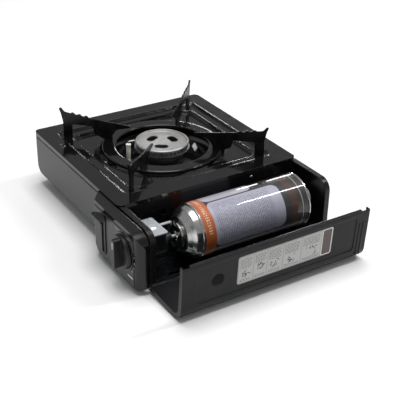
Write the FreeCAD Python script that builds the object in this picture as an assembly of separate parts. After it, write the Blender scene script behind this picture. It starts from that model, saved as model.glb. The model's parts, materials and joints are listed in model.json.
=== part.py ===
import FreeCAD, Part
import math
import os

# A table-top gas stove that burns a cartridge laid in a bay at its right side.
# Units are millimetres. X runs to the right, towards the cartridge bay, Y to the back, Z up.
# While it is built, the front left corner of the top plate stands over X = 0, Y = 0,
# and Z = 0 is the table. The last step moves everything to the middle of its own base.

V = FreeCAD.Vector
os.makedirs("parts", exist_ok=True)

# Top plate and body
plate_width = 238.0
plate_sheet = 0.8
plate_corner = 7.0
plate_lip = 5.0
foot_height = 4.0
foot_radius = 8.0
foot_inset = 30.0
foot_dish = 1.0
tray_sheet = 1.0
tray_corner = 6.0
tray_bevel_height = 14.0
tray_bevel_run = 11.0
seam_gap = 0.2
joggle = 0.3

# Pressed steps of the top plate, from its border to the bowl under the burner
border_width = 22.0
border_step = 3.0
border_draft = 2.5
border_corner = 8.0
band_width = 11.0
pad_step = 4.0
pad_draft = 2.0
pad_corner = 14.0
bowl_radius = 82.0
bowl_depth = 9.0
bowl_draft = 12.0
burner_hole = 55.0
dimple_radius = 4.0
dimple_depth = 1.0
dimple_inset = 11.0
dimple_along = 62.0

# Air slots of the tray
slot_count = 7
slot_width = 4.0
slot_length = 26.0
slot_pitch = 16.0

# Cartridge bay
bay_corner = 15.0
end_inset = 1.8
end_seat = 7.0
wall_gap = 0.6
partition_gap = 3.0
partition_flange = 9.0
partition_rivet_from_back = 67.0
partition_rivet_radius = 2.4

# Lid
lid_sheet = 1.0
lid_drop = 0.0
lid_corner = 17.0
lid_edge_round = 1.5
lid_flange = 6.0
lid_lip = 5.0
lid_free_gap = 2.0
lid_end_gap = 0.2
lid_swing = 93.0
hinge_height = 8.0
hinge_inset = 2.0
hinge_reach = 4.0
hinge_edge = 1.5
hinge_pin_radius = 1.5
hinge_running_gap = 0.08
hinge_head_radius = 2.8
hinge_head = 0.7
floor_hinge_gap = 6.0
field_inset_long = 6.0
field_inset_end = 18.0
field_depth = 0.8
field_corner = 5.0
finger_hole_radius = 8.0
finger_hole_from_front = 45.0
finger_hole_from_free = 28.0
finger_rim = 1.5
label_length = 129.5
label_height = 36.0
label_thick = 0.3
label_from_front = 70.0
label_from_free = 26.0
label_corner = 3.0

# Front panel
bulge_depth = 15.0
bulge_lever_room = 23.0
bulge_slope = 20.0
bulge_drop = 2.0
bulge_foot = 6.0
bulge_low_corner = 22.0
bulge_edge = 11.0
panel_wall = 1.2
panel_foot = 17.5
panel_corner = 12.0
face_thick = 0.7
face_margin = 2.0
face_top_gap = 3.0

# Lock lever
lever_offset = 6.0
lever_pivot_y = 52.0
lever_rise = 1.0
lever_up = 16.0
lever_swing = 32.0
lever_arm_thick = 3.0
lever_arm_height = 9.0
lever_nose_height = 4.0
lever_slot_gap = 1.2
lever_boss_radius = 7.0
lever_pin_radius = 2.5
lever_pin_head = 1.5
crank_height = 10.0
crank_pin_radius = 2.0
crank_pin_gap = 0.3
bezel_border = 3.0
bezel_thick = 1.2
paddle_width = 26.0
paddle_waist = 13.0
paddle_depth = 7.0
paddle_gap = 0.8
paddle_grip = 4.0
paddle_thick = 5.0

# Knob and igniter
knob_offset = 4.0
knob_rise = 3.0
knob_radius = 20.5
knob_skirt = 3.5
knob_depth = 12.0
knob_bar_width = 8.0
knob_bar_half_height = 18.0
knob_bar_edge = 3.0
knob_wall_gap = 0.6
spindle_radius = 4.0
spindle_gap = 0.08
spindle_bite = 3.0
bezel_ring = 2.5
igniter_width = 24.0
igniter_height = 32.0
igniter_gap = 1.0

# Burner
cap_radius = 34.5
cap_rise = 5.0
cap_thick = 3.6
cap_rim = 3.0
cap_dish = 2.2
cap_windows = 3
cap_window_width = 11.0
cap_window_spread = 26.0
cap_window_ring = 15.5
cap_window_angle = -33.0
head_radius = 32.5
port_count = 36
port_width = 1.8
port_depth = 3.5
port_height = 4.5
head_flange = 35.5
head_flange_thick = 1.6
head_waist = 24.0
head_wall = 2.5
neck_radius = 12.0
neck_drop = 2.0
dish_rim = 61.0
dish_sheet = 0.8
dish_depth = 8.0
dish_draft = 3.0
tube_radius = 9.0
tube_wall = 1.2
throat_radius = 6.5
tube_length = 66.0
tube_bell = 10.0
tube_drop = 1.0
tube_turn = -38.0
injector_radius = 4.0
injector_length = 16.0
injector_gap = 2.0
injector_bore = 0.6
stay_sheet = 1.2
stay_width = 22.0
stay_foot = 12.0
stay_above = 6.0
stay_hole_length = 30.0
electrode_ring = 46.0
electrode_angle = -98.0
electrode_radius = 2.8
electrode_collar = 4.2
electrode_rise = 8.0
electrode_pin_radius = 0.8
target_ring = 45.5
target_angle = 40.0
target_width = 11.0
target_rise = 5.0
target_sheet = 1.0
target_foot_gap = 0.5

# Trivet
fin_thick = 2.0
fin_foot_outer = 132.0
fin_foot_inner = 120.0
fin_horn_reach = 137.0
fin_height = 36.0
fin_tip = 42.0
fin_tip_rise = 19.5
fin_tip_thick = 2.5
fin_shelf_rise = 30.0
fin_shelf_end = 94.0
fin_shelf_low = 25.0
fin_window_rise = 14.5
fin_window_inner = 92.0
fin_leg_inner = 66.0
fin_leg_outer = 78.0
fin_bumps = 3
fin_bump_radius = 3.6
fin_bump_rise = 1.7
fin_tab_middle = 128.0
fin_tab_length = 5.0
fin_tab_drop = 1.5
fin_slot_gap = 0.6
fin_seat_gap = 0.2
ring_outer = 77.0
ring_inner = 60.0
ring_sheet = 1.5
ring_skirt = 4.0
ring_drop = 1.5

# Cartridge
can_side_room = 1.4
can_floor_room = 1.4
can_radius = 32.8
can_wall = 0.5
seam_radius = 33.6
seam_width = 3.0
can_front = 73.0
can_length = 152.0
dome_length = 15.0
dome_shoulder = 25.0
collar_radius = 18.0
collar_thick = 2.4
collar_notch = 6.0
collar_notch_depth = 5.0
cup_radius = 12.0
cup_length = 3.0
stem_radius = 1.7
stem_length = 4.0
bottom_dish = 6.0
end_cap_radius = 15.0
end_cap_length = 18.0
end_cap_room = 6.2
end_cap_wall = 1.2

# Gas valve, its bracket and the sliding cradle
valve_radius = 15.0
valve_front = 12.0
valve_length = 24.0
valve_block_width = 30.0
valve_block_rise = 19.0
socket_radius = 6.5
socket_bore = 4.2
socket_gap = 0.4
cradle_front = 20.0
cradle_sheet = 0.7
cradle_web_reach = 8.4
cradle_right_reach = 23.0
cradle_overlap = 13.0
cradle_web_height = 14.0
saddle_half = 18.0
saddle_length = 8.0
saddle_rise = 6.0
cradle_lip = 5.0
cradle_web_gap = 0.6
rest_gap = 0.3
bracket_sheet = 1.2
bracket_width = 38.0
bracket_reach = 31.0
bracket_dome = 6.5
bracket_dome_rise = 1.5
guide_width = 4.0
guide_reach = 1.5
guide_gap = 0.4
pipe_radius = 2.25
pipe_bend = 8.0
pipe_low = 16.0
pipe_y = 24.0
lead_radius = 1.3
lead_bend = 4.0
lead_low = 16.0
lead_y = 8.0
lead_slant = 40.0


def block(x0, x1, y0, y1, z0, z1):
    return Part.makeBox(x1 - x0, y1 - y0, z1 - z0, V(x0, y0, z0))


def rod(axis, centre, radius, start, end):
    """A cylinder along x, y or z from start to end. centre gives the other two coordinates."""
    a, b = centre
    places = {"x": V(start, a, b), "y": V(a, start, b), "z": V(a, b, start)}
    ways = {"x": V(1, 0, 0), "y": V(0, 1, 0), "z": V(0, 0, 1)}
    return Part.makeCylinder(radius, end - start, places[axis], ways[axis])


def to_space(plane, u, v, level):
    if plane == "xy":
        return V(u, v, level)
    if plane == "xz":
        return V(u, level, v)
    return V(level, u, v)


def outline(corners, plane, level):
    """A closed wire through corners (u, v, radius), each rounded by a tangent arc."""
    stops = []
    count = len(corners)
    for i in range(count):
        u, v, radius = corners[i]
        here = V(u, v, 0)
        if radius <= 0:
            stops.append((here, None, here))
            continue
        back = V(corners[i - 1][0], corners[i - 1][1], 0) - here
        ahead = V(corners[(i + 1) % count][0], corners[(i + 1) % count][1], 0) - here
        back.normalize()
        ahead.normalize()
        half = back.getAngle(ahead) / 2
        along = radius / math.tan(half)
        inward = back + ahead
        inward.normalize()
        middle = here + inward * (radius / math.sin(half) - radius)
        stops.append((here + back * along, middle, here + ahead * along))
    edges = []
    for i in range(count):
        start, middle, end = stops[i]
        if middle is not None:
            three = [to_space(plane, p.x, p.y, level) for p in (start, middle, end)]
            edges.append(Part.Arc(three[0], three[1], three[2]).toShape())
        following = stops[(i + 1) % count][0]
        if (following - end).Length > 1e-6:
            a = to_space(plane, end.x, end.y, level)
            b = to_space(plane, following.x, following.y, level)
            edges.append(Part.LineSegment(a, b).toShape())
    return Part.Wire(edges)


def prism(corners, plane, start, end):
    face = Part.Face(outline(corners, plane, start))
    return face.extrude(to_space(plane, 0, 0, end - start))


def rectangle(u0, u1, v0, v1, radius=0.0):
    return [(u0, v0, radius), (u1, v0, radius), (u1, v1, radius), (u0, v1, radius)]


def turned(corners, centre, direction=V(0, 0, 1)):
    """A solid of revolution. corners are (radius, height, rounding) about the given axis."""
    face = Part.Face(outline(corners, "xz", 0))
    solid = face.revolve(V(0, 0, 0), V(0, 0, 1), 360)
    solid.Placement = FreeCAD.Placement(centre, FreeCAD.Rotation(V(0, 0, 1), direction))
    return solid


def at_angle(shape, angle, centre, axis=V(0, 0, 1)):
    copy = shape.copy()
    copy.rotate(centre, axis, angle)
    return copy


def joined(shapes):
    if len(shapes) == 1:
        return shapes[0]
    return shapes[0].multiFuse(shapes[1:]).removeSplitter()


def group(shapes):
    return Part.makeCompound(shapes)


def bent_rod(points, radius, bend):
    """A round bar along straight runs that are joined by tangent arcs of radius bend."""
    pieces = []
    start = points[0]
    for i in range(1, len(points)):
        corner = points[i]
        way = corner - points[i - 1]
        way.normalize()
        if i == len(points) - 1:
            pieces.append(Part.makeCylinder(radius, (corner - start).Length, start, way))
            break
        next_way = points[i + 1] - corner
        next_way.normalize()
        turn = way.getAngle(next_way)
        along = bend * math.tan(turn / 2)
        arc_start = corner - way * along
        pieces.append(Part.makeCylinder(radius, (arc_start - start).Length, start, way))
        axis = way.cross(next_way)
        axis.normalize()
        middle = arc_start + axis.cross(way) * bend
        section = Part.Face(Part.Wire(Part.Circle(arc_start, way, radius).toShape()))
        pieces.append(section.revolve(middle, axis, math.degrees(turn)))
        start = corner + next_way * along
    return joined(pieces)


# Places that several pieces share
floor_top = foot_height + tray_sheet
can_x = plate_width + can_side_room + seam_radius
can_z = floor_top + rest_gap + cradle_sheet + can_floor_room + seam_radius
plate_top = can_z + seam_radius + can_side_room + lid_sheet + lid_drop
plate_depth = can_front + can_length + end_cap_length - bottom_dish + end_cap_room + end_seat + end_inset
centre = V(plate_width / 2, plate_depth / 2, 0)
band_top = plate_top - border_step
pad_top = band_top - pad_step
bowl_top = pad_top - bowl_depth
skirt_low = plate_top - plate_lip
face_front = plate_sheet + joggle
panel_front = face_front + face_thick
panel_back = panel_front + panel_wall
tray_front = panel_back + seam_gap
tray_side = plate_sheet + seam_gap
tray_back = plate_depth - plate_sheet - seam_gap
partition_x = plate_width - partition_gap
bay_right = can_x + seam_radius + can_side_room
lever_x = partition_x - lever_offset
lever_pivot_z = can_z + lever_rise
knob_x = can_x + knob_offset
knob_z = can_z + knob_rise
hinge_x = bay_right - hinge_inset
lid_side = hinge_x + hinge_reach
lid_top = plate_top - lid_drop
lid_low = hinge_height - hinge_edge
lid_free = plate_width + lid_free_gap
lid_front = lid_end_gap
lid_rear = plate_depth - lid_end_gap
end_top = lid_top - lid_sheet - wall_gap
end_right = lid_side - lid_sheet - wall_gap
end_low = hinge_height - (end_right - hinge_x)
end_front = end_inset
end_rear = plate_depth - end_inset
floor_right = hinge_x - floor_hinge_gap
bulge_left = lever_x - bulge_lever_room
bulge_face = -bulge_depth
bulge_wall = bulge_face + face_thick
bulge_inside = bulge_wall + panel_wall
bulge_right = lid_side
bulge_top = plate_top - bulge_drop
bulge_back = lid_front - hinge_head - joggle
cap_top = plate_top + cap_rise
head_top = cap_top - cap_thick
dish_top = bowl_top - plate_sheet
dish_floor = dish_top - dish_depth
tube_z = dish_floor - dish_sheet - tube_drop - tube_radius
tube_way = V(math.cos(math.radians(tube_turn)), math.sin(math.radians(tube_turn)), 0)
crank_travel = crank_height * math.tan(math.radians(lever_swing / 2)) * 2
can_rear = can_front + can_length
dome_front = can_front - dome_length
collar_back = dome_front - cup_length
collar_front = collar_back - collar_thick
stem_tip = collar_front - stem_length
socket_mouth = collar_front - crank_travel - socket_gap
valve_back = valve_front + valve_length
can_foot = can_z - seam_radius
cradle_top = can_foot - rest_gap
web_left = partition_x + tray_sheet + cradle_web_gap
cradle_left = web_left + cradle_web_reach
cradle_right = can_x + cradle_right_reach
cradle_back = can_front + cradle_overlap
fin_spread = math.degrees(math.atan2(plate_depth, plate_width))
fin_angles = [fin_spread, 180 - fin_spread, 180 + fin_spread, 360 - fin_spread]


def plate_outline(inset, radius):
    return rectangle(inset, plate_width - inset, inset, plate_depth - inset, radius)


def tapered(upper, high, lower, low):
    """A solid that narrows from one outline down to the other."""
    return Part.makeLoft([outline(upper, "xy", high), outline(lower, "xy", low)], True, True)


def pan_form(grow):
    """The hollow of the top plate. Grown by the sheet it is the underside of the pressing."""
    upper = plate_outline(border_width - grow, border_corner + grow)
    lower = plate_outline(border_width + border_draft - grow, border_corner + grow)
    border = tapered(upper, plate_top, lower, band_top - grow)
    pad_edge = border_width + border_draft + band_width
    upper = plate_outline(pad_edge - grow, pad_corner + grow)
    lower = plate_outline(pad_edge + pad_draft - grow, pad_corner + grow)
    mouth = prism(upper, "xy", band_top - grow, plate_top)
    pad = tapered(upper, band_top - grow, lower, pad_top - grow)
    bowl = turned([(0, bowl_top - grow, 0), (bowl_radius - bowl_draft + grow, bowl_top - grow, 0),
                   (bowl_radius + grow, pad_top - grow, 0), (bowl_radius + grow, plate_top, 0),
                   (0, plate_top, 0)], centre)
    inside = plate_outline(pad_edge + pad_draft - grow, pad_corner + grow)
    bowl = bowl.common(prism(inside, "xy", bowl_top - 2 * plate_sheet, plate_top))
    return joined([border, mouth, pad, bowl])


def dimple_form(grow):
    radius = dimple_radius + grow
    return rod("z", (dimple_along, dimple_inset), radius, plate_top - dimple_depth - grow, plate_top)


def plate_rim_space():
    """The turned-down lip of the plate and the running room round it, for cutting from what is near."""
    outer = prism(plate_outline(-joggle, plate_corner), "xy", skirt_low - joggle, plate_top + 1)
    inset = plate_sheet + seam_gap
    return outer.cut(prism(plate_outline(inset, plate_corner - inset), "xy", skirt_low - 1, plate_top + 2))


def foot_slot(angle):
    half = fin_tab_length / 2 + fin_slot_gap
    width = fin_thick / 2 + fin_slot_gap
    cutter = block(fin_tab_middle - half, fin_tab_middle + half, -width, width, pad_top, plate_top)
    cutter.translate(centre)
    return at_angle(cutter, angle, centre)


def burner_plate():
    border = plate_outline(0, plate_corner)
    inner = plate_outline(plate_sheet, plate_corner - plate_sheet)
    slab = prism(border, "xy", plate_top - plate_sheet, plate_top)
    skirt = prism(border, "xy", skirt_low, plate_top).cut(prism(inner, "xy", skirt_low, plate_top))
    sheet = joined([slab, skirt, pan_form(plate_sheet), dimple_form(plate_sheet)])
    hole = rod("z", (centre.x, centre.y), burner_hole, bowl_top - 2 * plate_sheet, plate_top)
    sheet = sheet.cut(pan_form(0)).cut(dimple_form(0)).cut(hole)
    return sheet.cut(group([foot_slot(angle) for angle in fin_angles]))


def tray_profile(inset, top):
    """Section of the tray seen from its right side, with the bevel under the front panel."""
    front = tray_front + inset
    back = tray_back - inset
    low = foot_height + inset
    slope = inset * 0.45
    return [(front, top, 0), (front, low - inset + tray_bevel_height + slope, 0),
            (front - inset + tray_bevel_run + slope, low, 0),
            (back, low, tray_corner - inset), (back, top, 0)]


def air_slot(x, y, length, width):
    return prism(rectangle(x - width / 2, x + width / 2, y - length / 2, y + length / 2, width / 2 - 0.01),
                 "xy", foot_height - 1, floor_top + 1)


def base_tray():
    rim = plate_top - plate_sheet - joggle
    outer = prism(tray_profile(0, rim), "yz", tray_side, partition_x)
    shape = rectangle(tray_side, 2 * partition_x, tray_front, tray_back, tray_corner)
    outer = outer.common(prism(shape, "xy", 0, plate_top))
    inner = prism(tray_profile(tray_sheet, rim + 1), "yz", tray_side + tray_sheet, partition_x + 1)
    shape = rectangle(tray_side + tray_sheet, 2 * partition_x, tray_front + tray_sheet,
                      tray_back - tray_sheet, tray_corner - tray_sheet)
    inner = inner.common(prism(shape, "xy", 0, plate_top))
    shell = outer.cut(inner)
    bay_floor = block(partition_x - tray_sheet, floor_right, end_front, end_rear, foot_height, floor_top)
    hem = block(floor_right - tray_sheet, floor_right, end_front + end_seat, end_rear - end_seat,
                foot_height, floor_top + 3)
    shell = joined([shell, bay_floor, hem])
    cuts = [lever_window(tray_front - 1, tray_front + tray_sheet + 1), plate_rim_space()]
    for i in range(slot_count):
        x = centre.x + (i - (slot_count - 1) / 2) * slot_pitch
        cuts.append(air_slot(x, centre.y - 60, slot_length, slot_width))
        cuts.append(air_slot(x, centre.y + 60, slot_length, slot_width))
        back_slot = rectangle(x - slot_width / 2, x + slot_width / 2, 28, 28 + slot_length * 0.7,
                              slot_width / 2 - 0.01)
        cuts.append(prism(back_slot, "xz", tray_back - 2, tray_back + 1))
    return shell.cut(group(cuts))


def feet():
    pads = []
    for x in (foot_inset, floor_right - foot_inset + 5):
        for y in (foot_inset, plate_depth - foot_inset):
            profile = [(0, foot_dish, 0), (foot_radius * 0.5, foot_dish, 0), (foot_radius * 0.6, 0, 0),
                       (foot_radius, 0, 1.0), (foot_radius + 1, foot_height, 0), (0, foot_height, 0)]
            pads.append(turned(profile, V(x, y, 0)))
    return group(pads)


def end_profile(inset, left):
    """Outline of an end wall of the bay, seen from the front, drawn in by inset."""
    right = end_right - inset
    top = end_top - inset
    return [(left, floor_top, 0), (floor_right, floor_top, 0), (floor_right, end_low + inset, 0),
            (right, end_low + inset, end_right - hinge_x - inset - 0.01), (right, top, bay_corner - inset),
            (left, top, 0)]


def end_wall(face, inward):
    """One pressed end wall: a flat web whose edge is turned inward as a seat for the lid."""
    web = prism(end_profile(0, partition_x), "xz", face, face + inward * tray_sheet)
    seat = prism(end_profile(0, plate_width + joggle), "xz", face, face + inward * end_seat)
    inner = end_profile(tray_sheet, plate_width - 1)
    hollow = prism(inner, "xz", face + inward * tray_sheet, face + inward * (end_seat + 1))
    near, far = sorted([face + inward * tray_sheet, face + inward * (end_seat + 1)])
    below = block(partition_x, end_right + 1, near, far, 0, floor_top + end_seat)
    return web.fuse(seat).cut(group([hollow, below, plate_rim_space()])).removeSplitter()


def bay_front_wall():
    wall = end_wall(end_front, 1)
    wall = wall.cut(rod("y", (knob_x, knob_z), spindle_radius + 6, end_front - 1, end_front + 3))
    wall = wall.cut(rod("y", lead_exit(), lead_radius + 1, end_front - 1, end_front + 3))
    return wall.cut(rod("y", (hinge_x, hinge_height), hinge_pin_radius, end_front - 1, end_front + 3))


def bay_rear_wall():
    wall = end_wall(end_rear, -1)
    return wall.cut(rod("y", (hinge_x, hinge_height), hinge_pin_radius, end_rear - 3, end_rear + 1))


def partition():
    front = tray_front + tray_sheet + joggle
    back = end_rear - tray_sheet
    top = plate_top - plate_sheet - joggle
    web = block(partition_x, partition_x + tray_sheet, front, back, floor_top, top)
    flange = block(partition_x - partition_flange, partition_x, front, back, top - tray_sheet, top)
    sheet = web.fuse(flange)
    crank_slot = rectangle(lever_pivot_y - crank_travel - 6, lever_pivot_y + crank_travel + 6,
                           crank_z() - crank_pin_radius - 1.5, crank_z() + crank_pin_radius + 1.5, 2)
    cuts = [plate_rim_space(), prism(crank_slot, "yz", partition_x - 1, partition_x + 2),
            rod("x", (pipe_y, pipe_low), pipe_radius + 1, partition_x - 1, partition_x + 2),
            rod("x", (lead_y, lead_low), lead_radius + 1, partition_x - 1, partition_x + 2),
            rod("x", (lever_pivot_y, lever_pivot_z), lever_pin_radius, partition_x - 1, partition_x + 2)]
    return sheet.cut(group(cuts))


def partition_rivet():
    right = partition_x + tray_sheet
    profile = [(0, 0, 0), (partition_rivet_radius, 0, 0),
               (partition_rivet_radius * 0.7, 1.2, 0.4), (0, 1.2, 0)]
    return turned(profile, V(right, plate_depth - partition_rivet_from_back, plate_top - 11), V(1, 0, 0))


def hinge_pins():
    pins = []
    for face, way in ((end_front, 1), (end_rear, -1)):
        head = end_front - lid_front + hinge_head + 0.1
        profile = [(0, 0, 0), (hinge_head_radius - 0.8, 0, 0), (hinge_head_radius, hinge_head, 0),
                   (hinge_pin_radius, hinge_head, 0), (hinge_pin_radius, head + tray_sheet + 1, 0),
                   (0, head + tray_sheet + 1, 0)]
        pins.append(turned(profile, V(hinge_x, face - way * head, hinge_height), V(0, way, 0)))
    return group(pins)


def lever_height(radius, angle):
    return lever_pivot_z + radius * math.sin(math.radians(angle))


def lever_window(y0, y1):
    """A slot that clears the lever's arm over its whole swing, for a wall between y0 and y1."""
    radius = lever_pivot_y - min(y0, y1)
    half = lever_arm_height / 2 / math.cos(math.radians(lever_up)) + lever_slot_gap
    high = lever_height(radius, lever_up) + half
    low = lever_height(radius, lever_up - lever_swing) - half
    side = lever_arm_thick / 2 + lever_slot_gap
    corners = rectangle(lever_x - side, lever_x + side, low, high, side - 0.1)
    return prism(corners, "xz", y0, y1)


def panel_plan(inset):
    """Front panel seen from above: flat at the left, then a slope out to the bulge."""
    front = panel_front + inset
    bulge = bulge_wall + inset
    slope_start = bulge_left - bulge_slope + inset * 0.3
    right = bulge_right - inset
    return [(tray_side + inset, panel_back + 1, 0), (tray_side + inset, front, 0), (slope_start, front, 6),
            (bulge_left + inset * 0.6, bulge, 6), (right, bulge, bulge_edge - inset),
            (right, panel_back + 1, 0)]


def panel_front_view(inset):
    """The two areas of the front panel seen from the front: the long flat and the bulge."""
    top = bulge_top - inset
    flat = [(tray_side + inset, panel_foot + inset, panel_corner - inset),
            (bulge_left + 40, panel_foot + inset, 0), (bulge_left + 40, top, 0), (tray_side + inset, top, 2)]
    bulge = [(bulge_left - 1 + inset, bulge_foot + inset, bulge_low_corner - inset),
             (bulge_right - inset, bulge_foot + inset, 5 - inset),
             (bulge_right - inset, top, lid_corner - inset), (bulge_left - 1 + inset, top, 0)]
    return flat, bulge


def panel_form(inset):
    low = bulge_face - 1
    high = panel_back + 1
    flat, bulge = panel_front_view(inset)
    front_view = joined([prism(flat, "xz", low, high), prism(bulge, "xz", low, high)])
    return front_view.common(prism(panel_plan(inset), "xy", 0, plate_top))


def front_panel():
    back_half = block(-1, bulge_right + 1, panel_back, panel_back + 5, 0, plate_top + 1)
    shell = panel_form(0).cut(back_half)
    shell = shell.cut(panel_form(panel_wall).cut(block(-1, bulge_left - bulge_slope - 3, panel_front - 1,
                                                       panel_back + 2, 0, plate_top)))
    skirt = block(-1, plate_width + 1, -joggle, panel_back + 2, skirt_low - joggle, plate_top + 1)
    bay = block(partition_x, bulge_right + 1, bulge_back, panel_back + 2, 0, plate_top + 1)
    cuts = [skirt, bay, lever_window(bulge_face - 1, bulge_inside + 1),
            rod("y", (knob_x, knob_z), spindle_radius + 1.5, bulge_face - 1, bulge_inside + 1)]
    return shell.cut(group(cuts))


def face_outline():
    """The painted area of the panel, over its long flat, its slope and the bulge."""
    top = skirt_low - joggle - face_top_gap
    left = tray_side + face_margin
    foot = panel_foot + face_margin
    bulge_low = bulge_foot + face_margin
    right = bulge_right - bulge_edge
    return [(left, foot, panel_corner - face_margin), (bulge_left - 6, foot, 3),
            (bulge_left + 3, bulge_low, 12), (right, bulge_low, 3), (right, top, 6), (left, top, 2)]


def panel_face():
    """A thin painted plate that lies on the front panel and follows its slope."""
    skin = panel_form(-face_thick).cut(panel_form(0))
    low = bulge_face - 2
    skin = skin.common(prism(face_outline(), "xz", low, panel_front))
    cuts = [lever_window(bulge_face - 1, bulge_inside + 1),
            rod("y", (knob_x, knob_z), spindle_radius + 1.5, bulge_face - 1, bulge_inside + 1)]
    skin = skin.cut(group(cuts))
    return max(skin.Solids, key=lambda solid: solid.Volume)


def slot_bezel():
    """A raised plastic frame round the lever's slot."""
    slot = lever_window(bulge_face - bezel_thick, bulge_face)
    box = slot.BoundBox
    side = lever_arm_thick / 2 + lever_slot_gap + bezel_border
    corners = rectangle(lever_x - side, lever_x + side, box.ZMin - bezel_border, box.ZMax + bezel_border,
                        side - 0.1)
    return prism(corners, "xz", bulge_face - bezel_thick, bulge_face).cut(slot)


def crank_z():
    return lever_pivot_z + crank_height


def arm_outline():
    """The level arm seen from its side, tapered where the paddle grips it."""
    half = lever_arm_height / 2
    nose = lever_nose_height / 2
    shoulder = bulge_face - bezel_thick
    front = paddle_back() - paddle_grip
    return [(lever_pivot_y, lever_pivot_z - half, 0), (lever_pivot_y, lever_pivot_z + half, 0),
            (shoulder, lever_pivot_z + half, 0), (front, lever_pivot_z + nose, 0),
            (front, lever_pivot_z - nose, 0), (shoulder, lever_pivot_z - half, 0)]


def lever_arm():
    """The arm is drawn level, with its fork upright, and then raised to the unlocked place."""
    half = lever_arm_thick / 2
    arm = prism(arm_outline(), "yz", lever_x - half, lever_x + half)
    boss = rod("x", (lever_pivot_y, lever_pivot_z), lever_boss_radius, lever_x - half, lever_x + half)
    fork_half = crank_pin_radius + 3
    near = lever_pivot_y - fork_half
    far = lever_pivot_y + fork_half
    fork = prism([(near, lever_pivot_z, 0), (far, lever_pivot_z, 0), (far, crank_z() + 4, 2),
                  (near, crank_z() + 4, 2)], "yz", lever_x - half, lever_x + half)
    arm = joined([arm, boss, fork])
    throat = crank_pin_radius + crank_pin_gap
    cuts = [block(lever_x - 5, lever_x + 5, lever_pivot_y - throat, lever_pivot_y + throat,
                  crank_z() - 4, crank_z() + 9),
            rod("x", (lever_pivot_y, lever_pivot_z), lever_pin_radius + spindle_gap,
                lever_x - 5, lever_x + 5)]
    arm = arm.cut(group(cuts))
    return at_angle(arm, -lever_up, V(lever_x, lever_pivot_y, lever_pivot_z), V(1, 0, 0))


def paddle_clearance():
    """Room behind the level paddle, because it swings nearer to the panel at both ends of its travel."""
    tilt = math.radians(max(lever_up, lever_swing - lever_up))
    swing = (lever_pivot_y - bulge_face) * (1 - math.cos(tilt))
    return swing + paddle_thick * math.sin(tilt) + paddle_gap


def paddle_back():
    return bulge_face - bezel_thick - paddle_clearance()


def lever_paddle():
    """A thumb paddle, narrow where it grips the arm and flared and cupped at its front edge."""
    back = paddle_back()
    front = back - paddle_depth
    shoulder = front + paddle_depth * 0.45
    plan = [(lever_x - paddle_waist / 2, back, 1), (lever_x - paddle_width / 2, shoulder, 1.5),
            (lever_x - paddle_width / 2 + 1, front, 1.2), (lever_x + paddle_width / 2 - 1, front, 1.2),
            (lever_x + paddle_width / 2, shoulder, 1.5), (lever_x + paddle_waist / 2, back, 1)]
    low = lever_pivot_z - paddle_thick
    body = prism(plan, "xy", low, lever_pivot_z + paddle_thick)
    side_view = [(back, low + 1, 0), (front, lever_pivot_z - 1, 2), (front, lever_pivot_z + 2, 1),
                 (back - 4, lever_pivot_z + 3, 3), (back, lever_pivot_z + paddle_thick, 0)]
    body = body.common(prism(side_view, "yz", lever_x - paddle_width, lever_x + paddle_width))
    cup = rod("x", (front + 3, low - 9), 13, lever_x - paddle_width, lever_x + paddle_width)
    body = body.cut(cup)
    half = lever_arm_thick / 2
    body = body.cut(prism(arm_outline(), "yz", lever_x - half, lever_x + half))
    body = max(body.Solids, key=lambda solid: solid.Volume)
    return at_angle(body, -lever_up, V(lever_x, lever_pivot_y, lever_pivot_z), V(1, 0, 0))


def lever_pivot_pin():
    left = lever_x - lever_arm_thick / 2
    profile = [(0, 0, 0), (lever_pin_radius + 1.5, 0, 0), (lever_pin_radius + 1.5, lever_pin_head, 0),
               (lever_pin_radius, lever_pin_head, 0),
               (lever_pin_radius, partition_x + tray_sheet - left + 2, 0),
               (0, partition_x + tray_sheet - left + 2, 0)]
    start = left - joggle - lever_pin_head
    pin = turned(profile, V(start, lever_pivot_y, lever_pivot_z), V(1, 0, 0))
    keep = block(start - 1, partition_x + tray_sheet, 0, plate_depth, 0, plate_top)
    spacer = rod("x", (lever_pivot_y, lever_pivot_z), lever_pin_radius + 1.5,
                 lever_x + lever_arm_thick / 2 + joggle, partition_x)
    return joined([pin.common(keep), spacer])


def knob():
    back = bulge_face - knob_wall_gap - bezel_thick
    skirt_front = back - knob_skirt
    front = skirt_front - knob_depth + knob_skirt
    disc = turned([(0, 0, 0), (knob_radius, 0, 0), (knob_radius - 1.5, knob_skirt, 1.0), (0, knob_skirt, 0)],
                  V(knob_x, back, knob_z), V(0, -1, 0))
    half = knob_bar_width / 2
    tall = knob_bar_half_height
    bar = prism(rectangle(knob_x - half, knob_x + half, knob_z - tall, knob_z + tall, knob_bar_edge),
                "xz", skirt_front + 1, front)
    bar = bar.common(turned([(0, -1, 0), (knob_radius + 1.5, -1, 0), (knob_radius - 1.5, knob_depth, 2.0),
                             (0, knob_depth, 0)], V(knob_x, back, knob_z), V(0, -1, 0)))
    body = joined([disc, bar])
    socket = rod("y", (knob_x, knob_z), spindle_radius, back - spindle_bite, back + 1)
    return body.cut(socket)


def knob_spindle():
    back = bulge_face - knob_wall_gap - bezel_thick
    return rod("y", (knob_x, knob_z), spindle_radius, back - spindle_bite, valve_front - spindle_gap)


def knob_ring():
    """A flat ring round the knob that carries its printed scale."""
    outer = knob_radius + bezel_ring
    ring = rod("y", (knob_x, knob_z), outer, bulge_face - bezel_thick, bulge_face)
    return ring.cut(rod("y", (knob_x, knob_z), spindle_radius + 1.5,
                        bulge_face - bezel_thick - 1, bulge_face + 1))


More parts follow.
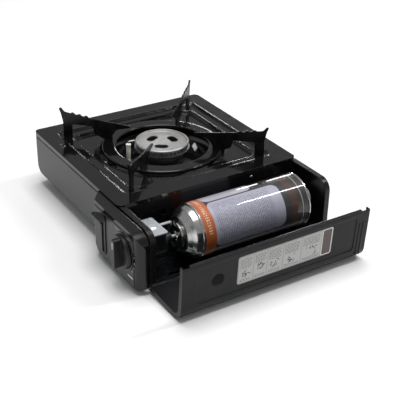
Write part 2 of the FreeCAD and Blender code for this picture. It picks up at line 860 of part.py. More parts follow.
def igniter():
    back = end_front - joggle
    front = bulge_inside + igniter_gap
    half = igniter_width / 2
    low = knob_z - igniter_height * 0.6
    case = prism(rectangle(knob_x - half, knob_x + half, low, low + igniter_height, 3), "xz", front, back)
    post_x, post_z = lead_exit()
    case = case.cut(rod("y", (knob_x, knob_z), spindle_radius + spindle_gap, front - 1, back + 1))
    return case.cut(rod("y", (post_x, post_z), lead_radius + 0.1, back - 5, back + 1))


def lead_exit():
    return knob_x - igniter_width / 2 + 3.5, knob_z - igniter_height * 0.6 + 3.5


def electrode_place():
    angle = math.radians(electrode_angle)
    return centre.x + electrode_ring * math.cos(angle), centre.y + electrode_ring * math.sin(angle)


def ignition_lead():
    x, z = lead_exit()
    end_x, end_y = electrode_place()
    end_z = dish_floor - dish_sheet - 6
    points = [V(x, end_front - joggle - 4, z), V(x, lead_y, z), V(x, lead_y, lead_low),
              V(end_x + lead_slant, lead_y, lead_low), V(end_x, end_y, lead_low), V(end_x, end_y, end_z)]
    return bent_rod(points, lead_radius, lead_bend)


def electrode():
    x, y = electrode_place()
    low = dish_floor - dish_sheet - 6
    top = plate_top + electrode_rise
    profile = [(0, low, 0), (electrode_radius, low, 0), (electrode_radius, dish_floor, 0),
               (electrode_collar, dish_floor, 0), (electrode_collar, dish_floor + 3, 0.5),
               (electrode_radius, dish_floor + 4, 0), (electrode_radius, top - 4, 0),
               (electrode_radius + 0.5, top - 3, 0), (electrode_radius + 0.5, top - 1, 0.4),
               (electrode_pin_radius, top, 0), (0, top, 0)]
    body = turned(profile, V(x, y, 0))
    return body.cut(rod("z", (x, y), electrode_pin_radius, top - 6, top + 1))


def electrode_pin():
    x, y = electrode_place()
    inward = V(centre.x - x, centre.y - y, 0)
    inward.normalize()
    top = plate_top + electrode_rise
    low = V(x, y, top - 6)
    bend = V(x, y, top + 2.5)
    tip = bend + inward * (electrode_ring - cap_radius - 3)
    return bent_rod([low, bend, tip], electrode_pin_radius, 1.6)


def flame_target():
    """A sheet finger that stands beside the burner and leans over its ports."""
    radius = target_ring
    foot = burner_hole - 1 - dish_draft - target_foot_gap
    side = [(foot, dish_floor, 0), (foot, dish_floor + target_sheet, 0),
            (radius + target_sheet, dish_floor + target_sheet, 1), (radius + target_sheet, plate_top - 2, 2),
            (radius - 3, plate_top + target_rise, 0), (radius - 3 - target_sheet, plate_top + target_rise, 0),
            (radius, plate_top - 2, 2), (radius, dish_floor, 0)]
    half = target_width / 2
    finger = prism(side, "xz", -half, half)
    finger.translate(centre)
    return at_angle(finger, target_angle, centre)


def burner_dish():
    """Sheet dish that hangs under the plate's round hole and carries the burner head."""
    top = dish_top
    low = dish_floor
    inner = burner_hole - 1
    profile = [(neck_radius, low - dish_sheet, 0), (inner - dish_draft + dish_sheet, low - dish_sheet, 0),
               (inner + dish_sheet, top - dish_sheet, 0), (dish_rim, top - dish_sheet, 0), (dish_rim, top, 0),
               (inner, top, 0), (inner - dish_draft, low, 0), (neck_radius, low, 0)]
    dish = turned(profile, centre)
    x, y = electrode_place()
    return dish.cut(rod("z", (x, y), electrode_radius + 0.1, low - 2, low + 1))


def head_form(grow):
    top = head_top
    low = dish_floor + (head_wall if grow < 0 else 0)
    waist = head_waist + grow
    mouth = top + (1 if grow < 0 else 0)
    return turned([(0, low, 0), (waist, low, 0), (waist, low + 4, 0),
                   (head_radius + grow, top - port_height - 4, 0), (head_radius + grow, mouth, 0),
                   (0, mouth, 0)], centre)


def burner_head():
    """Cast burner bowl with its ring of ports, a flange below them and the gas neck."""
    low = tube_z - tube_radius - neck_drop
    neck = rod("z", (centre.x, centre.y), neck_radius, low, dish_floor + 1)
    flange_top = head_top - port_height
    flange = rod("z", (centre.x, centre.y), head_flange, flange_top - head_flange_thick, flange_top)
    body = joined([head_form(0), neck, flange]).cut(head_form(-head_wall))
    body = body.cut(rod("z", (centre.x, centre.y), neck_radius - head_wall, low + head_wall, head_top + 1))
    inlet = Part.makeCylinder(tube_radius - tube_wall, neck_radius + 2,
                              V(centre.x, centre.y, tube_z), tube_way)
    body = body.cut(inlet)
    ports = []
    for i in range(port_count):
        port = block(head_radius - port_depth, head_radius + 2, -port_width / 2, port_width / 2,
                     head_top - port_height, head_top + 1)
        port.translate(centre)
        ports.append(at_angle(port, 360.0 * i / port_count, centre))
    return body.cut(group(ports))


def kidney(ring, width, spread, z0, z1):
    """A curved slot round the origin: part of a ring that spans the angle spread, with round ends."""
    inner = ring - width / 2
    face = Part.Face(outline(rectangle(inner, inner + width, z0, z1), "xz", 0))
    arc = at_angle(face.revolve(V(0, 0, 0), V(0, 0, 1), spread), -spread / 2, V(0, 0, 0))
    end = rod("z", (ring, 0), width / 2, z0, z1)
    ends = [at_angle(end, side * spread / 2, V(0, 0, 0)) for side in (-1, 1)]
    return joined([arc] + ends)


def burner_cap():
    """Dished cap on the ports, with a raised rim and kidney-shaped windows in its floor."""
    low = head_top
    floor = cap_top - cap_dish
    rim = cap_radius - cap_rim
    profile = [(0, floor - 1.2, 0), (rim - 4, floor - 1.2, 0), (rim - 3, low, 0), (cap_radius - 0.6, low, 0),
               (cap_radius, low + 0.8, 0), (cap_radius, cap_top - 1.2, 1.0), (cap_radius - 1.4, cap_top, 0.6),
               (rim + 0.8, cap_top, 0.6), (rim - 0.5, floor, 1.0), (0, floor, 0)]
    cap = turned(profile, centre)
    holes = []
    for i in range(cap_windows):
        hole = kidney(cap_window_ring, cap_window_width, cap_window_spread, low - 2, cap_top + 1)
        hole.translate(centre)
        holes.append(at_angle(hole, cap_window_angle + 360.0 * i / cap_windows, centre))
    return cap.cut(group(holes))


def along_tube(distance):
    return V(centre.x, centre.y, tube_z) + tube_way * distance


def mixing_tube():
    start = neck_radius - 1
    throat = start + tube_length * 0.7
    end = neck_radius + tube_length
    wall = tube_wall
    shoulder = start + tube_length * 0.4
    profile = [(tube_radius - wall, start, 0), (tube_radius, start, 0), (tube_radius, shoulder, 5),
               (throat_radius + wall, throat, 5), (tube_bell, end, 0), (tube_bell - wall, end, 0),
               (throat_radius, throat, 5), (tube_radius - wall, shoulder, 5)]
    body = turned(profile, V(centre.x, centre.y, tube_z), tube_way)
    neck = rod("z", (centre.x, centre.y), neck_radius, tube_z - tube_radius - 5, tube_z + tube_radius + 5)
    return body.cut(neck)


def injector():
    tip = neck_radius + tube_length + injector_gap
    profile = [(injector_bore, 0, 0), (1.6, 0, 0), (injector_radius * 0.6, 4, 0), (injector_radius, 4.5, 0),
               (injector_radius, injector_length, 0), (pipe_radius - 0.8, injector_length, 0),
               (pipe_radius - 0.8, 5, 0), (injector_bore, 5, 0)]
    return turned(profile, along_tube(tip), tube_way)


def injector_stay():
    """An upright sheet on the tray floor that holds the injector in line with the tube."""
    place = neck_radius + tube_length + injector_gap + injector_length * 0.5
    half = stay_width / 2
    top = tube_z + injector_radius + stay_above
    web = block(place, place + stay_sheet, -half, half, floor_top, top)
    foot = block(place, place + stay_foot, -half, half, floor_top, floor_top + stay_sheet)
    stay = web.fuse(foot)
    stay.translate(V(centre.x, centre.y, 0))
    stay = at_angle(stay, tube_turn, centre)
    hole_start = along_tube(place - stay_hole_length / 2)
    hole = Part.makeCylinder(injector_radius, stay_hole_length, hole_start, tube_way)
    return stay.cut(hole)


def gas_pipe():
    end = along_tube(neck_radius + tube_length + injector_gap + injector_length)
    before = end + tube_way * 16
    points = [V(can_x, pipe_y, can_z - valve_radius + 1), V(can_x, pipe_y, pipe_low),
              V(before.x, pipe_y, pipe_low), before, end]
    pipe = bent_rod(points, pipe_radius, pipe_bend)
    return pipe.cut(rod("y", (can_x, can_z), valve_radius, valve_front, valve_back))


def valve_body():
    """Cast valve with its pressure chamber, the spindle's neck and the cartridge socket."""
    barrel = rod("y", (can_x, can_z), valve_radius, valve_front, valve_back)
    half = valve_block_width / 2
    chamber = prism(rectangle(can_x - half, can_x + half, can_z, can_z + valve_block_rise, 4), "xz",
                    valve_front + 3, valve_back - 3)
    neck = rod("y", (knob_x, knob_z), spindle_radius + 3,
               end_front + tray_sheet + bracket_sheet, valve_front + 1)
    socket = rod("y", (can_x, can_z), socket_radius, valve_back - 1, socket_mouth)
    collar = rod("y", (can_x, can_z), socket_radius + 3.5, valve_back - 1, valve_back + 3)
    body = joined([barrel, chamber, neck, socket, collar])
    cuts = [rod("y", (can_x, can_z), socket_bore, socket_mouth - 8, socket_mouth + 1),
            rod("y", (knob_x, knob_z), spindle_radius + spindle_gap, end_front, valve_front)]
    return body.cut(group(cuts))


def bracket_top():
    return can_z + valve_block_rise + 0.1


def valve_bracket():
    """Zinc-plated angle that hangs the valve from the front wall, with a round pressed dome."""
    half = bracket_width / 2
    back = end_front + tray_sheet
    low = bracket_top()
    top = low + bracket_sheet
    shelf = prism(rectangle(can_x - half, can_x + half, back, back + bracket_reach, 2), "xy", low, top)
    web = prism(rectangle(can_x - half, can_x + half, knob_z - 14, top - 0.2, 2), "xz",
                back, back + bracket_sheet)
    body = joined([shelf, web])
    middle = V(can_x, back + bracket_reach - bracket_dome - 4, 0)
    dome = turned([(0, low, 0), (bracket_dome, low, 0), (bracket_dome, top, 0),
                   (bracket_dome - 2, top + bracket_dome_rise, 1), (0, top + bracket_dome_rise, 0)], middle)
    body = joined([body, dome])
    cuts = [rod("y", (knob_x, knob_z), spindle_radius + 3.1, back - 1, back + 3)]
    body = body.cut(group(cuts))
    guide_end = stem_tip - guide_gap
    left = can_x - guide_width / 2
    right = can_x + guide_width / 2
    guide = block(left, right, back + bracket_reach - 1, guide_end, low, top)
    tooth = block(left, right, guide_end - bracket_sheet, guide_end, can_z + collar_radius - guide_reach, top)
    return joined([body, guide, tooth])


def bracket_screws():
    back = end_front + tray_sheet + bracket_sheet
    screws = []
    for side in (-1, 1):
        x = can_x + side * (bracket_width / 2 - 5)
        profile = [(0, 0, 0), (3, 0, 0), (2.6, 1.6, 0.8), (0, 1.8, 0)]
        screws.append(turned(profile, V(x, back, bracket_top() - 6), V(0, 1, 0)))
    return group(screws)


def cradle():
    """Sliding sheet cradle under the cartridge's front, pulled forward by the lever's fork."""
    low = floor_top + rest_gap
    back = cradle_back
    plate = block(cradle_left, cradle_right, cradle_front, back, low, low + cradle_sheet)
    lip = block(cradle_right - cradle_sheet, cradle_right, cradle_front + 12, back - 10,
                low, low + cradle_lip)
    web_front = lever_pivot_y - crank_travel / 2 - 8
    foot = block(web_left, cradle_left + 1, web_front, back, low, low + cradle_sheet)
    web = block(web_left, web_left + cradle_sheet, web_front, back, low, low + cradle_web_height)
    post = block(web_left, web_left + cradle_sheet, web_front, web_front + 16, low, crank_z() + 5)
    pin_left = lever_x - lever_arm_thick / 2 - 1
    crank_y = lever_pivot_y + crank_travel / 2
    pin = rod("x", (crank_y, crank_z()), crank_pin_radius, pin_left, web_left + cradle_sheet / 2)
    saddle_y = can_front + seam_width / 2
    saddle_end = saddle_y + saddle_length
    saddle = block(can_x - saddle_half, can_x + saddle_half, saddle_y, saddle_end,
                   low, cradle_top + saddle_rise)
    saddle = saddle.cut(rod("y", (can_x, can_z), seam_radius + rest_gap, saddle_y - 1, saddle_end + 1))
    return joined([plate, lip, foot, web, post, pin, saddle])


def can_body():
    outer = rod("y", (can_x, can_z), can_radius, can_front + seam_width, can_rear - seam_width)
    return outer.cut(rod("y", (can_x, can_z), can_radius - can_wall, can_front, can_rear))


def can_turned(profile):
    """profile is (radius, distance back from the cartridge's front seam, rounding)."""
    return turned(profile, V(can_x, can_front, can_z), V(0, 1, 0))


def can_dome():
    """Stepped tinplate shoulder with the rolled front seam."""
    wall = can_wall
    outer = seam_radius
    return can_turned([(cup_radius, -dome_length, 0), (dome_shoulder - 4, -dome_length, 2),
                       (dome_shoulder, -dome_length + 5, 2), (can_radius - 3.5, -dome_length + 8.5, 2.5),
                       (can_radius - 1.4, 0, 0), (outer - 0.6, 0, 0), (outer, 0.8, 0),
                       (outer, seam_width - 0.8, 0), (outer - 0.6, seam_width, 0),
                       (can_radius - 1.6, seam_width, 0), (can_radius - 4.3, -dome_length + 9, 2.0),
                       (dome_shoulder - wall, -dome_length + 5.5, 1.5),
                       (dome_shoulder - 4.3, -dome_length + wall, 1.5), (cup_radius, -dome_length + wall, 0)])


def can_bottom():
    outer = seam_radius
    end = can_length
    flat = end_cap_radius + 1
    return can_turned([(0, end - bottom_dish - 0.6, 0), (flat, end - bottom_dish - 0.6, 0),
                       (can_radius - 8, end - bottom_dish + 1.4, 0),
                       (can_radius - 2.2, end - seam_width, 0), (outer - 0.6, end - seam_width, 0),
                       (outer, end - seam_width + 0.8, 0), (outer, end - 0.8, 0), (outer - 0.6, end, 0),
                       (can_radius - 1.4, end, 0), (can_radius - 8, end - bottom_dish + 2, 0),
                       (flat, end - bottom_dish, 0), (0, end - bottom_dish, 0)])


def can_collar():
    """Valve cup and the notched collar that the guide of the bracket finds."""
    start = -dome_length - cup_length - collar_thick
    body = can_turned([(stem_radius, start, 0), (5, start, 0), (6, start + 1.2, 0),
                       (cup_radius, start + 1.2, 0), (collar_radius - 1, start, 0.5),
                       (collar_radius, start + 0.6, 0),
                       (collar_radius, start + collar_thick, 0), (cup_radius, start + collar_thick, 0),
                       (cup_radius, -dome_length + 2, 0), (stem_radius, -dome_length + 2, 0)])
    half = collar_notch / 2
    notch = block(can_x - half, can_x + half, collar_front - 1, collar_back + 0.5,
                  can_z + collar_radius - collar_notch_depth, can_z + collar_radius + 2)
    return body.cut(notch)


def can_stem():
    tip = -dome_length - cup_length - collar_thick - stem_length
    return can_turned([(0.7, tip, 0), (stem_radius - 0.4, tip, 0), (stem_radius, tip + 1, 0),
                       (stem_radius, -dome_length + 2, 0), (0.7, -dome_length + 2, 0)])


def can_end_cap():
    """Plastic nozzle cap, kept on the hollow end of the cartridge."""
    start = can_length - bottom_dish
    end = start + end_cap_length
    radius = end_cap_radius
    return can_turned([(radius - end_cap_wall, start, 0), (radius, start, 0), (radius - 1, end - 3, 0),
                       (radius - 4, end, 2.5), (0, end, 0), (0, end - end_cap_wall, 0),
                       (radius - 4.5, end - end_cap_wall, 1.5), (radius - 1 - end_cap_wall, end - 4, 0)])


def lid_profile(inset, low):
    """Section of the closed lid: up the side, round the corner and over to its free edge."""
    return [(lid_free + inset, low, 0), (lid_free + inset, lid_top - inset, lid_edge_round - inset),
            (lid_side - inset, lid_top - inset, lid_corner - inset), (lid_side - inset, low, 0)]


def lid_field(grow):
    left = lid_free + field_inset_long - grow
    right = lid_side - lid_corner - 1 + grow
    return rectangle(left, right, lid_front + field_inset_end - grow, lid_rear - field_inset_end + grow,
                     field_corner + grow)


def opened(shape):
    """Swing a piece of the closed lid to the open place that the stove is shown in."""
    return at_angle(shape, lid_swing, V(hinge_x, 0, hinge_height), V(0, 1, 0))


def finger_place():
    return lid_free + finger_hole_from_free, lid_front + finger_hole_from_front


def lid_shell():
    skin = prism(lid_profile(0, lid_low), "xz", lid_front, lid_rear)
    skin = skin.cut(prism(lid_profile(lid_sheet, lid_low - 1), "xz", lid_front - 1, lid_rear + 1))
    lip_low = lid_top - lid_lip
    skin = skin.cut(block(lid_free - 1, lid_free + 2 * lid_sheet, lid_front - 1, lid_rear + 1, 0, lip_low))
    seat_gap = end_inset + end_seat + 2
    for start, end in ((lid_front - 1, seat_gap), (plate_depth - seat_gap, lid_rear + 1)):
        skin = skin.cut(block(lid_free - 1, lid_free + lid_sheet, start, end, 0, lid_top - lid_sheet))
    solids = [skin]
    flange = prism(lid_profile(0, lid_low), "xz", lid_front, lid_front + lid_sheet)
    inner = [(lid_free - 1, lid_low - 1, 0), (lid_free - 1, lid_top - lid_flange, 0),
             (lid_side - lid_flange, lid_top - lid_flange, lid_corner - lid_flange),
             (lid_side - lid_flange, lid_low - 1, 0)]
    flange = flange.cut(prism(inner, "xz", lid_front - 1, lid_front + 2))
    ear = rod("y", (hinge_x, hinge_height), hinge_reach, lid_front, lid_front + lid_sheet)
    flange = flange.fuse(ear).cut(
        rod("y", (hinge_x, hinge_height), hinge_pin_radius + hinge_running_gap, lid_front - 1, lid_front + 2))
    other = flange.copy()
    other.translate(V(0, lid_rear - lid_front - lid_sheet, 0))
    solids += [flange, other]
    solids.append(prism(lid_field(lid_sheet), "xy", lid_top - lid_sheet - field_depth, lid_top - lid_sheet))
    x, y = finger_place()
    rim_low = lid_top - lid_sheet - field_depth - finger_rim
    solids.append(rod("z", (x, y), finger_hole_radius + lid_sheet, rim_low, lid_top - lid_sheet))
    shell = joined(solids).cut(prism(lid_field(0), "xy", lid_top - field_depth, lid_top + 1))
    shell = shell.cut(rod("z", (x, y), finger_hole_radius, rim_low - 1, lid_top + 1))
    return opened(shell.removeSplitter())


def lid_label():
    x = lid_free + label_from_free
    low = lid_top - field_depth
    start = lid_front + label_from_front
    half = label_height / 2
    sheet = prism(rectangle(x - half, x + half, start, start + label_length, label_corner), "xy",
                  low, low + label_thick)
    return opened(sheet)


def trivet_ring():
    top = plate_top - ring_drop
    low = top - ring_sheet
    skirt = ring_outer - ring_sheet
    lip = low - ring_skirt * 0.5
    return turned([(ring_inner, lip, 0), (ring_inner + ring_sheet, lip, 0),
                   (ring_inner + ring_sheet, low, 1), (skirt, low, 1), (skirt, top - ring_skirt, 0),
                   (ring_outer, top - ring_skirt, 0), (ring_outer, top, 1.4), (ring_inner, top, 1.4)],
                  centre)


def trivet_fin(angle):
    """One upright support: foot and horn outside, wavy shelf, and a beak over the burner."""
    seat = plate_top - border_step + fin_seat_gap
    ring_top = plate_top - ring_drop
    top = plate_top
    side = [(fin_foot_outer, seat, 0), (fin_foot_outer, top + 17, 6), (fin_foot_outer + 2.5, top + 29, 6),
            (fin_horn_reach, top + fin_height - 0.5, 1), (fin_foot_outer + 2, top + fin_height, 1),
            (fin_foot_outer - 2, top + fin_shelf_rise + 1, 3), (fin_foot_outer - 6, top + fin_shelf_rise, 3),
            (fin_shelf_end, top + fin_shelf_low, 8), (fin_tip, top + fin_tip_rise, 0.8),
            (fin_tip, top + fin_tip_rise - fin_tip_thick, 0.8), (60, top + 13, 8),
            (fin_leg_inner, top + 4, 4), (fin_leg_inner, ring_top, 0), (fin_leg_outer, ring_top, 2),
            (fin_window_inner - 2, top + 4, 5), (fin_window_inner, top + fin_window_rise, 2),
            (fin_foot_inner, top + fin_window_rise, 2), (fin_foot_inner, seat, 0)]
    half = fin_thick / 2
    pieces = [prism(side, "xz", -half, half)]
    slope = (fin_shelf_rise - fin_shelf_low) / (fin_foot_outer - 6 - fin_shelf_end)
    for i in range(fin_bumps):
        x = fin_foot_outer - 13 - 9 * i
        line = top + fin_shelf_low + slope * (x - fin_shelf_end)
        pieces.append(rod("y", (x, line + fin_bump_rise - fin_bump_radius), fin_bump_radius, -half, half))
    tab = block(fin_tab_middle - fin_tab_length / 2, fin_tab_middle + fin_tab_length / 2, -half, half,
                seat - fin_tab_drop, seat + 1)
    pieces.append(tab)
    fin = joined(pieces)
    fin.translate(centre)
    return at_angle(fin, angle, centre)


def all_parts():
    corners = ["back_right", "back_left", "front_left", "front_right"]
    parts = {
        "burner_plate": burner_plate(), "base_tray": base_tray(), "feet": feet(),
        "partition": partition(), "partition_rivet": partition_rivet(),
        "bay_front_wall": bay_front_wall(), "bay_rear_wall": bay_rear_wall(),
        "hinge_pins": hinge_pins(), "front_panel": front_panel(), "panel_face": panel_face(),
        "slot_bezel": slot_bezel(), "knob_ring": knob_ring(), "igniter": igniter(),
        "ignition_lead": ignition_lead(), "electrode": electrode(), "electrode_pin": electrode_pin(),
        "flame_target": flame_target(), "burner_dish": burner_dish(), "burner_head": burner_head(),
        "burner_cap": burner_cap(), "mixing_tube": mixing_tube(), "injector": injector(),
        "injector_stay": injector_stay(), "gas_pipe": gas_pipe(), "valve_body": valve_body(),
        "valve_bracket": valve_bracket(), "bracket_screws": bracket_screws(),
        "lever_pivot_pin": lever_pivot_pin(), "lever_arm": lever_arm(), "lever_paddle": lever_paddle(),
        "knob": knob(), "knob_spindle": knob_spindle(), "cradle": cradle(),
        "can_body": can_body(), "can_dome": can_dome(), "can_bottom": can_bottom(),
        "can_collar": can_collar(), "can_stem": can_stem(), "can_end_cap": can_end_cap(),
        "lid_shell": lid_shell(), "lid_label": lid_label(), "trivet_ring": trivet_ring(),
    }
    for corner, angle in zip(corners, fin_angles):
        parts["trivet_fin_" + corner] = trivet_fin(angle)
    return parts


def base_middle(parts):
    """Middle of the whole stove's footprint, seen from above."""
    box = FreeCAD.BoundBox()
    for shape in parts.values():
        box.add(shape.optimalBoundingBox(False, False))
    return V(-(box.XMin + box.XMax) / 2, -(box.YMin + box.YMax) / 2, -box.ZMin)


parts = all_parts()
shift = base_middle(parts)
for name, shape in parts.items():
    shape.translate(shift)
    shape.exportStep("parts/" + name + ".step")
print("shift", round(shift.x, 4), round(shift.y, 4), round(shift.z, 4))
print("hinge", round(hinge_x + shift.x, 4), round(hinge_height + shift.z, 4))
print("lever pivot", round(lever_pivot_y + shift.y, 4), round(lever_pivot_z + shift.z, 4))
print("knob axis", round(knob_x + shift.x, 4), round(knob_z + shift.z, 4))
print("cradle travel", round(crank_travel, 4))
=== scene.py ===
# %% [markdown]
# A cassette stove, dressed in Blender.
# The stove is a pressed steel box with an enamelled top, a burner, a lying gas cartridge and a hinged lid.
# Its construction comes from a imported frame, so nothing here moves or resizes a part.
# This lesson gives each part the finish of the real one and adds the small things that a frame leaves out.

# %% Load the frame
import json
import math
import random

import bmesh
import bpy
from mathutils import Matrix, Vector


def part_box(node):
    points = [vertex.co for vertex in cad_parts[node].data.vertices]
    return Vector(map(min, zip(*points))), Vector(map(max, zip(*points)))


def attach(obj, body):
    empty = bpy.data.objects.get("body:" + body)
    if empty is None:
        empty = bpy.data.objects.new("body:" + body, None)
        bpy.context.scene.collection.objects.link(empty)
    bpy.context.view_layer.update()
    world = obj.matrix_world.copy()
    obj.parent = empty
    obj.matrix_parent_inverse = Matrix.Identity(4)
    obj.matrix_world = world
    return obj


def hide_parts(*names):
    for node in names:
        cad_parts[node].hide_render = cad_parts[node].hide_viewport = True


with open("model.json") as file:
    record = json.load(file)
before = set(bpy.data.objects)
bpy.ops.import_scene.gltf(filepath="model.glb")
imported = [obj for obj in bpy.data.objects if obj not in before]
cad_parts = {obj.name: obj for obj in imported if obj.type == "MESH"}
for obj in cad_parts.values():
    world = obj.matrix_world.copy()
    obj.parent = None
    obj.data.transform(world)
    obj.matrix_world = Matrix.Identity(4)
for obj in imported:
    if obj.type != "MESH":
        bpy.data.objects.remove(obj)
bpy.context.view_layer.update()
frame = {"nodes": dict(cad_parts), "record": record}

MM = 0.001
nodes = frame["nodes"]

# %% [markdown]
# The camera stands in front of the stove, to the right of it and above it.
# It could be placed by pointing it at a target, but its three axes are worked out here from an azimuth,
# an elevation and a small roll, because those are the numbers that a photographer would give.

# %% Camera
CAMERA_PLACE = Vector((0.8571, -0.5215, 0.5873))
CAMERA_AZIMUTH = math.radians(57.3)
CAMERA_ELEVATION = math.radians(29.0)
CAMERA_ROLL = math.radians(1.1)
CAMERA_LENS_MM = 82.7
SENSOR_MM = 36.0


def camera_axes():
    """Right, up and back of the camera, as unit vectors."""
    flat = math.cos(CAMERA_ELEVATION)
    right = Vector((math.cos(CAMERA_AZIMUTH), math.sin(CAMERA_AZIMUTH), 0))
    back = Vector((math.sin(CAMERA_AZIMUTH) * flat, -math.cos(CAMERA_AZIMUTH) * flat,
                   math.sin(CAMERA_ELEVATION)))
    up = back.cross(right)
    rolled_right = right * math.cos(CAMERA_ROLL) + up * math.sin(CAMERA_ROLL)
    rolled_up = up * math.cos(CAMERA_ROLL) - right * math.sin(CAMERA_ROLL)
    return rolled_right, rolled_up, back


def facing(place, right, up, back):
    """A matrix that stands at place with these three axes."""
    turn = Matrix((right, up, back)).transposed().to_4x4()
    return Matrix.Translation(place) @ turn


camera_data = bpy.data.cameras.new("camera")
camera_data.lens = CAMERA_LENS_MM
camera_data.sensor_width = SENSOR_MM
camera = bpy.data.objects.new("camera", camera_data)
camera.matrix_world = facing(CAMERA_PLACE, *camera_axes())
bpy.context.scene.collection.objects.link(camera)
bpy.context.scene.camera = camera
print("camera looks along", [round(-c, 3) for c in camera_axes()[2]])

# %% [markdown]
# A material is a small network of nodes. It could be wired by hand, line by line.
# One helper that adds a node, sets it and links it keeps each finish short enough to read.
# Colours are written as sRGB hex, as a paint card gives them, and turned to linear light in one place.

# %% Helpers for materials
EDGE_TURNED = 0.80
EDGE_FLAT = 0.98


def linear(code):
    """An sRGB hex colour such as 1a2b3c as linear red, green, blue and alpha."""
    channels = [int(code[i:i + 2], 16) / 255 for i in (0, 2, 4)]
    return tuple(c / 12.92 if c <= 0.04045 else ((c + 0.055) / 1.055) ** 2.4 for c in channels) + (1.0,)


def maths(finish, operation, first, second=0.0):
    """One step of arithmetic on values or outputs."""
    return add_node(finish, "ShaderNodeMath", {0: first, 1: second}, operation=operation).outputs[0]


def add_node(finish, kind, inputs=None, **settings):
    """Adds a node with its settings. inputs gives each socket a value or another node's output."""
    node = finish.node_tree.nodes.new(kind)
    for name, value in settings.items():
        setattr(node, name, value)
    for key, value in (inputs or {}).items():
        if isinstance(value, bpy.types.NodeSocket):
            finish.node_tree.links.new(value, node.inputs[key])
        else:
            node.inputs[key].default_value = value
    return node


def new_finish(name, colour, roughness, metallic=0.0, **sockets):
    """A material with one shader of that colour, and the shader itself."""
    finish = bpy.data.materials.new(name)
    finish.use_nodes = True
    shader = finish.node_tree.nodes["Principled BSDF"]
    shader.inputs["Base Color"].default_value = linear(colour)
    shader.inputs["Roughness"].default_value = roughness
    shader.inputs["Metallic"].default_value = metallic
    for key, value in sockets.items():
        shader.inputs[key.replace("_", " ")].default_value = value
    return finish, shader


def place(finish, stretch=(1, 1, 1)):
    """The point on the piece in the stove's own frame, stretched along each axis."""
    where = add_node(finish, "ShaderNodeTexCoord").outputs["Object"]
    return add_node(finish, "ShaderNodeMapping", {"Vector": where, "Scale": stretch}).outputs[0]


def speckle(finish, size_mm, stretch=(1, 1, 1), detail=2.0):
    """Soft noise from 0 to 1 whose blobs are about size_mm across."""
    settings = {"Vector": place(finish, stretch), "Scale": 1 / (size_mm * MM),
                "Detail": detail}
    return add_node(finish, "ShaderNodeTexNoise", settings).outputs["Fac"]


def between(finish, value, low, high, start=0.0, end=1.0):
    """A value from low to high, as the input goes from start to end."""
    settings = {"Value": value, "From Min": start, "From Max": end, "To Min": low, "To Max": high}
    return add_node(finish, "ShaderNodeMapRange", settings).outputs["Result"]


def blend_colours(finish, factor, first, second):
    """One colour over another. A colour is a hex code or another node's output."""
    sides = [linear(c) if isinstance(c, str) else c for c in (first, second)]
    settings = {0: factor, 6: sides[0], 7: sides[1]}
    return add_node(finish, "ShaderNodeMix", settings, data_type="RGBA").outputs[2]


def step_at(finish, value, edge, soft=0.15):
    """0 below edge and 1 above it."""
    return between(finish, value, 0.0, 1.0, edge - soft, edge + soft)


def both(finish, *masks):
    """1 only where every mask is 1."""
    result = masks[0]
    for mask in masks[1:]:
        result = maths(finish, "MULTIPLY", result, mask)
    return result


def inside(finish, value, low, high, soft=0.15):
    """1 where value lies from low to high."""
    above = step_at(finish, value, low, soft)
    below = between(finish, value, 1.0, 0.0, high - soft, high + soft)
    return both(finish, above, below)


def link(finish, output, socket):
    """Feeds a shader's socket from a node's output."""
    finish.node_tree.links.new(output, socket)


def bump(finish, shader, height, depth_mm, bend=None):
    """Raises the surface by up to depth_mm where height is 1. Bends shine as if rounded by bend metres."""
    inputs = {"Height": height, "Strength": 1.0, "Distance": depth_mm * MM}
    if bend is not None:
        rounded = add_node(finish, "ShaderNodeBevel", {"Radius": bend}, samples=8)
        inputs["Normal"] = rounded.outputs["Normal"]
    relief = add_node(finish, "ShaderNodeBump", inputs)
    link(finish, relief.outputs["Normal"], shader.inputs["Normal"])
    return relief


def worn_edges(finish, radius_mm):
    """1 on sharp edges and 0 on open faces, with the blend about radius_mm wide."""
    rounded = add_node(finish, "ShaderNodeBevel", {"Radius": radius_mm * MM}, samples=4)
    flat = add_node(finish, "ShaderNodeNewGeometry")
    sides = {0: rounded.outputs["Normal"], 1: flat.outputs["Normal"]}
    along = add_node(finish, "ShaderNodeVectorMath", sides, operation="DOT_PRODUCT")
    return between(finish, along.outputs["Value"], 1.0, 0.0, EDGE_TURNED, EDGE_FLAT)


print("white in linear light:", linear("ffffff")[:3])

# %% [markdown]
# The top plate, the drip dish and the pan support are vitreous enamel on pressed steel.
# Enamel is glass melted onto the metal, so it is black, very glossy and faintly wavy, like orange peel.
# It could be a mirror-smooth black, but the slow waves are what bend the long reflections on a real one.
# The pan support is dipped in a thinner coat that comes out of the kiln satin, so it gets its own version.

# %% Vitreous enamel
ENAMEL_WAVE_MM = 6.0
ENAMEL_WAVE_DEPTH_MM = 0.02
PRESSED_FROM_RIM_MM = 10.0


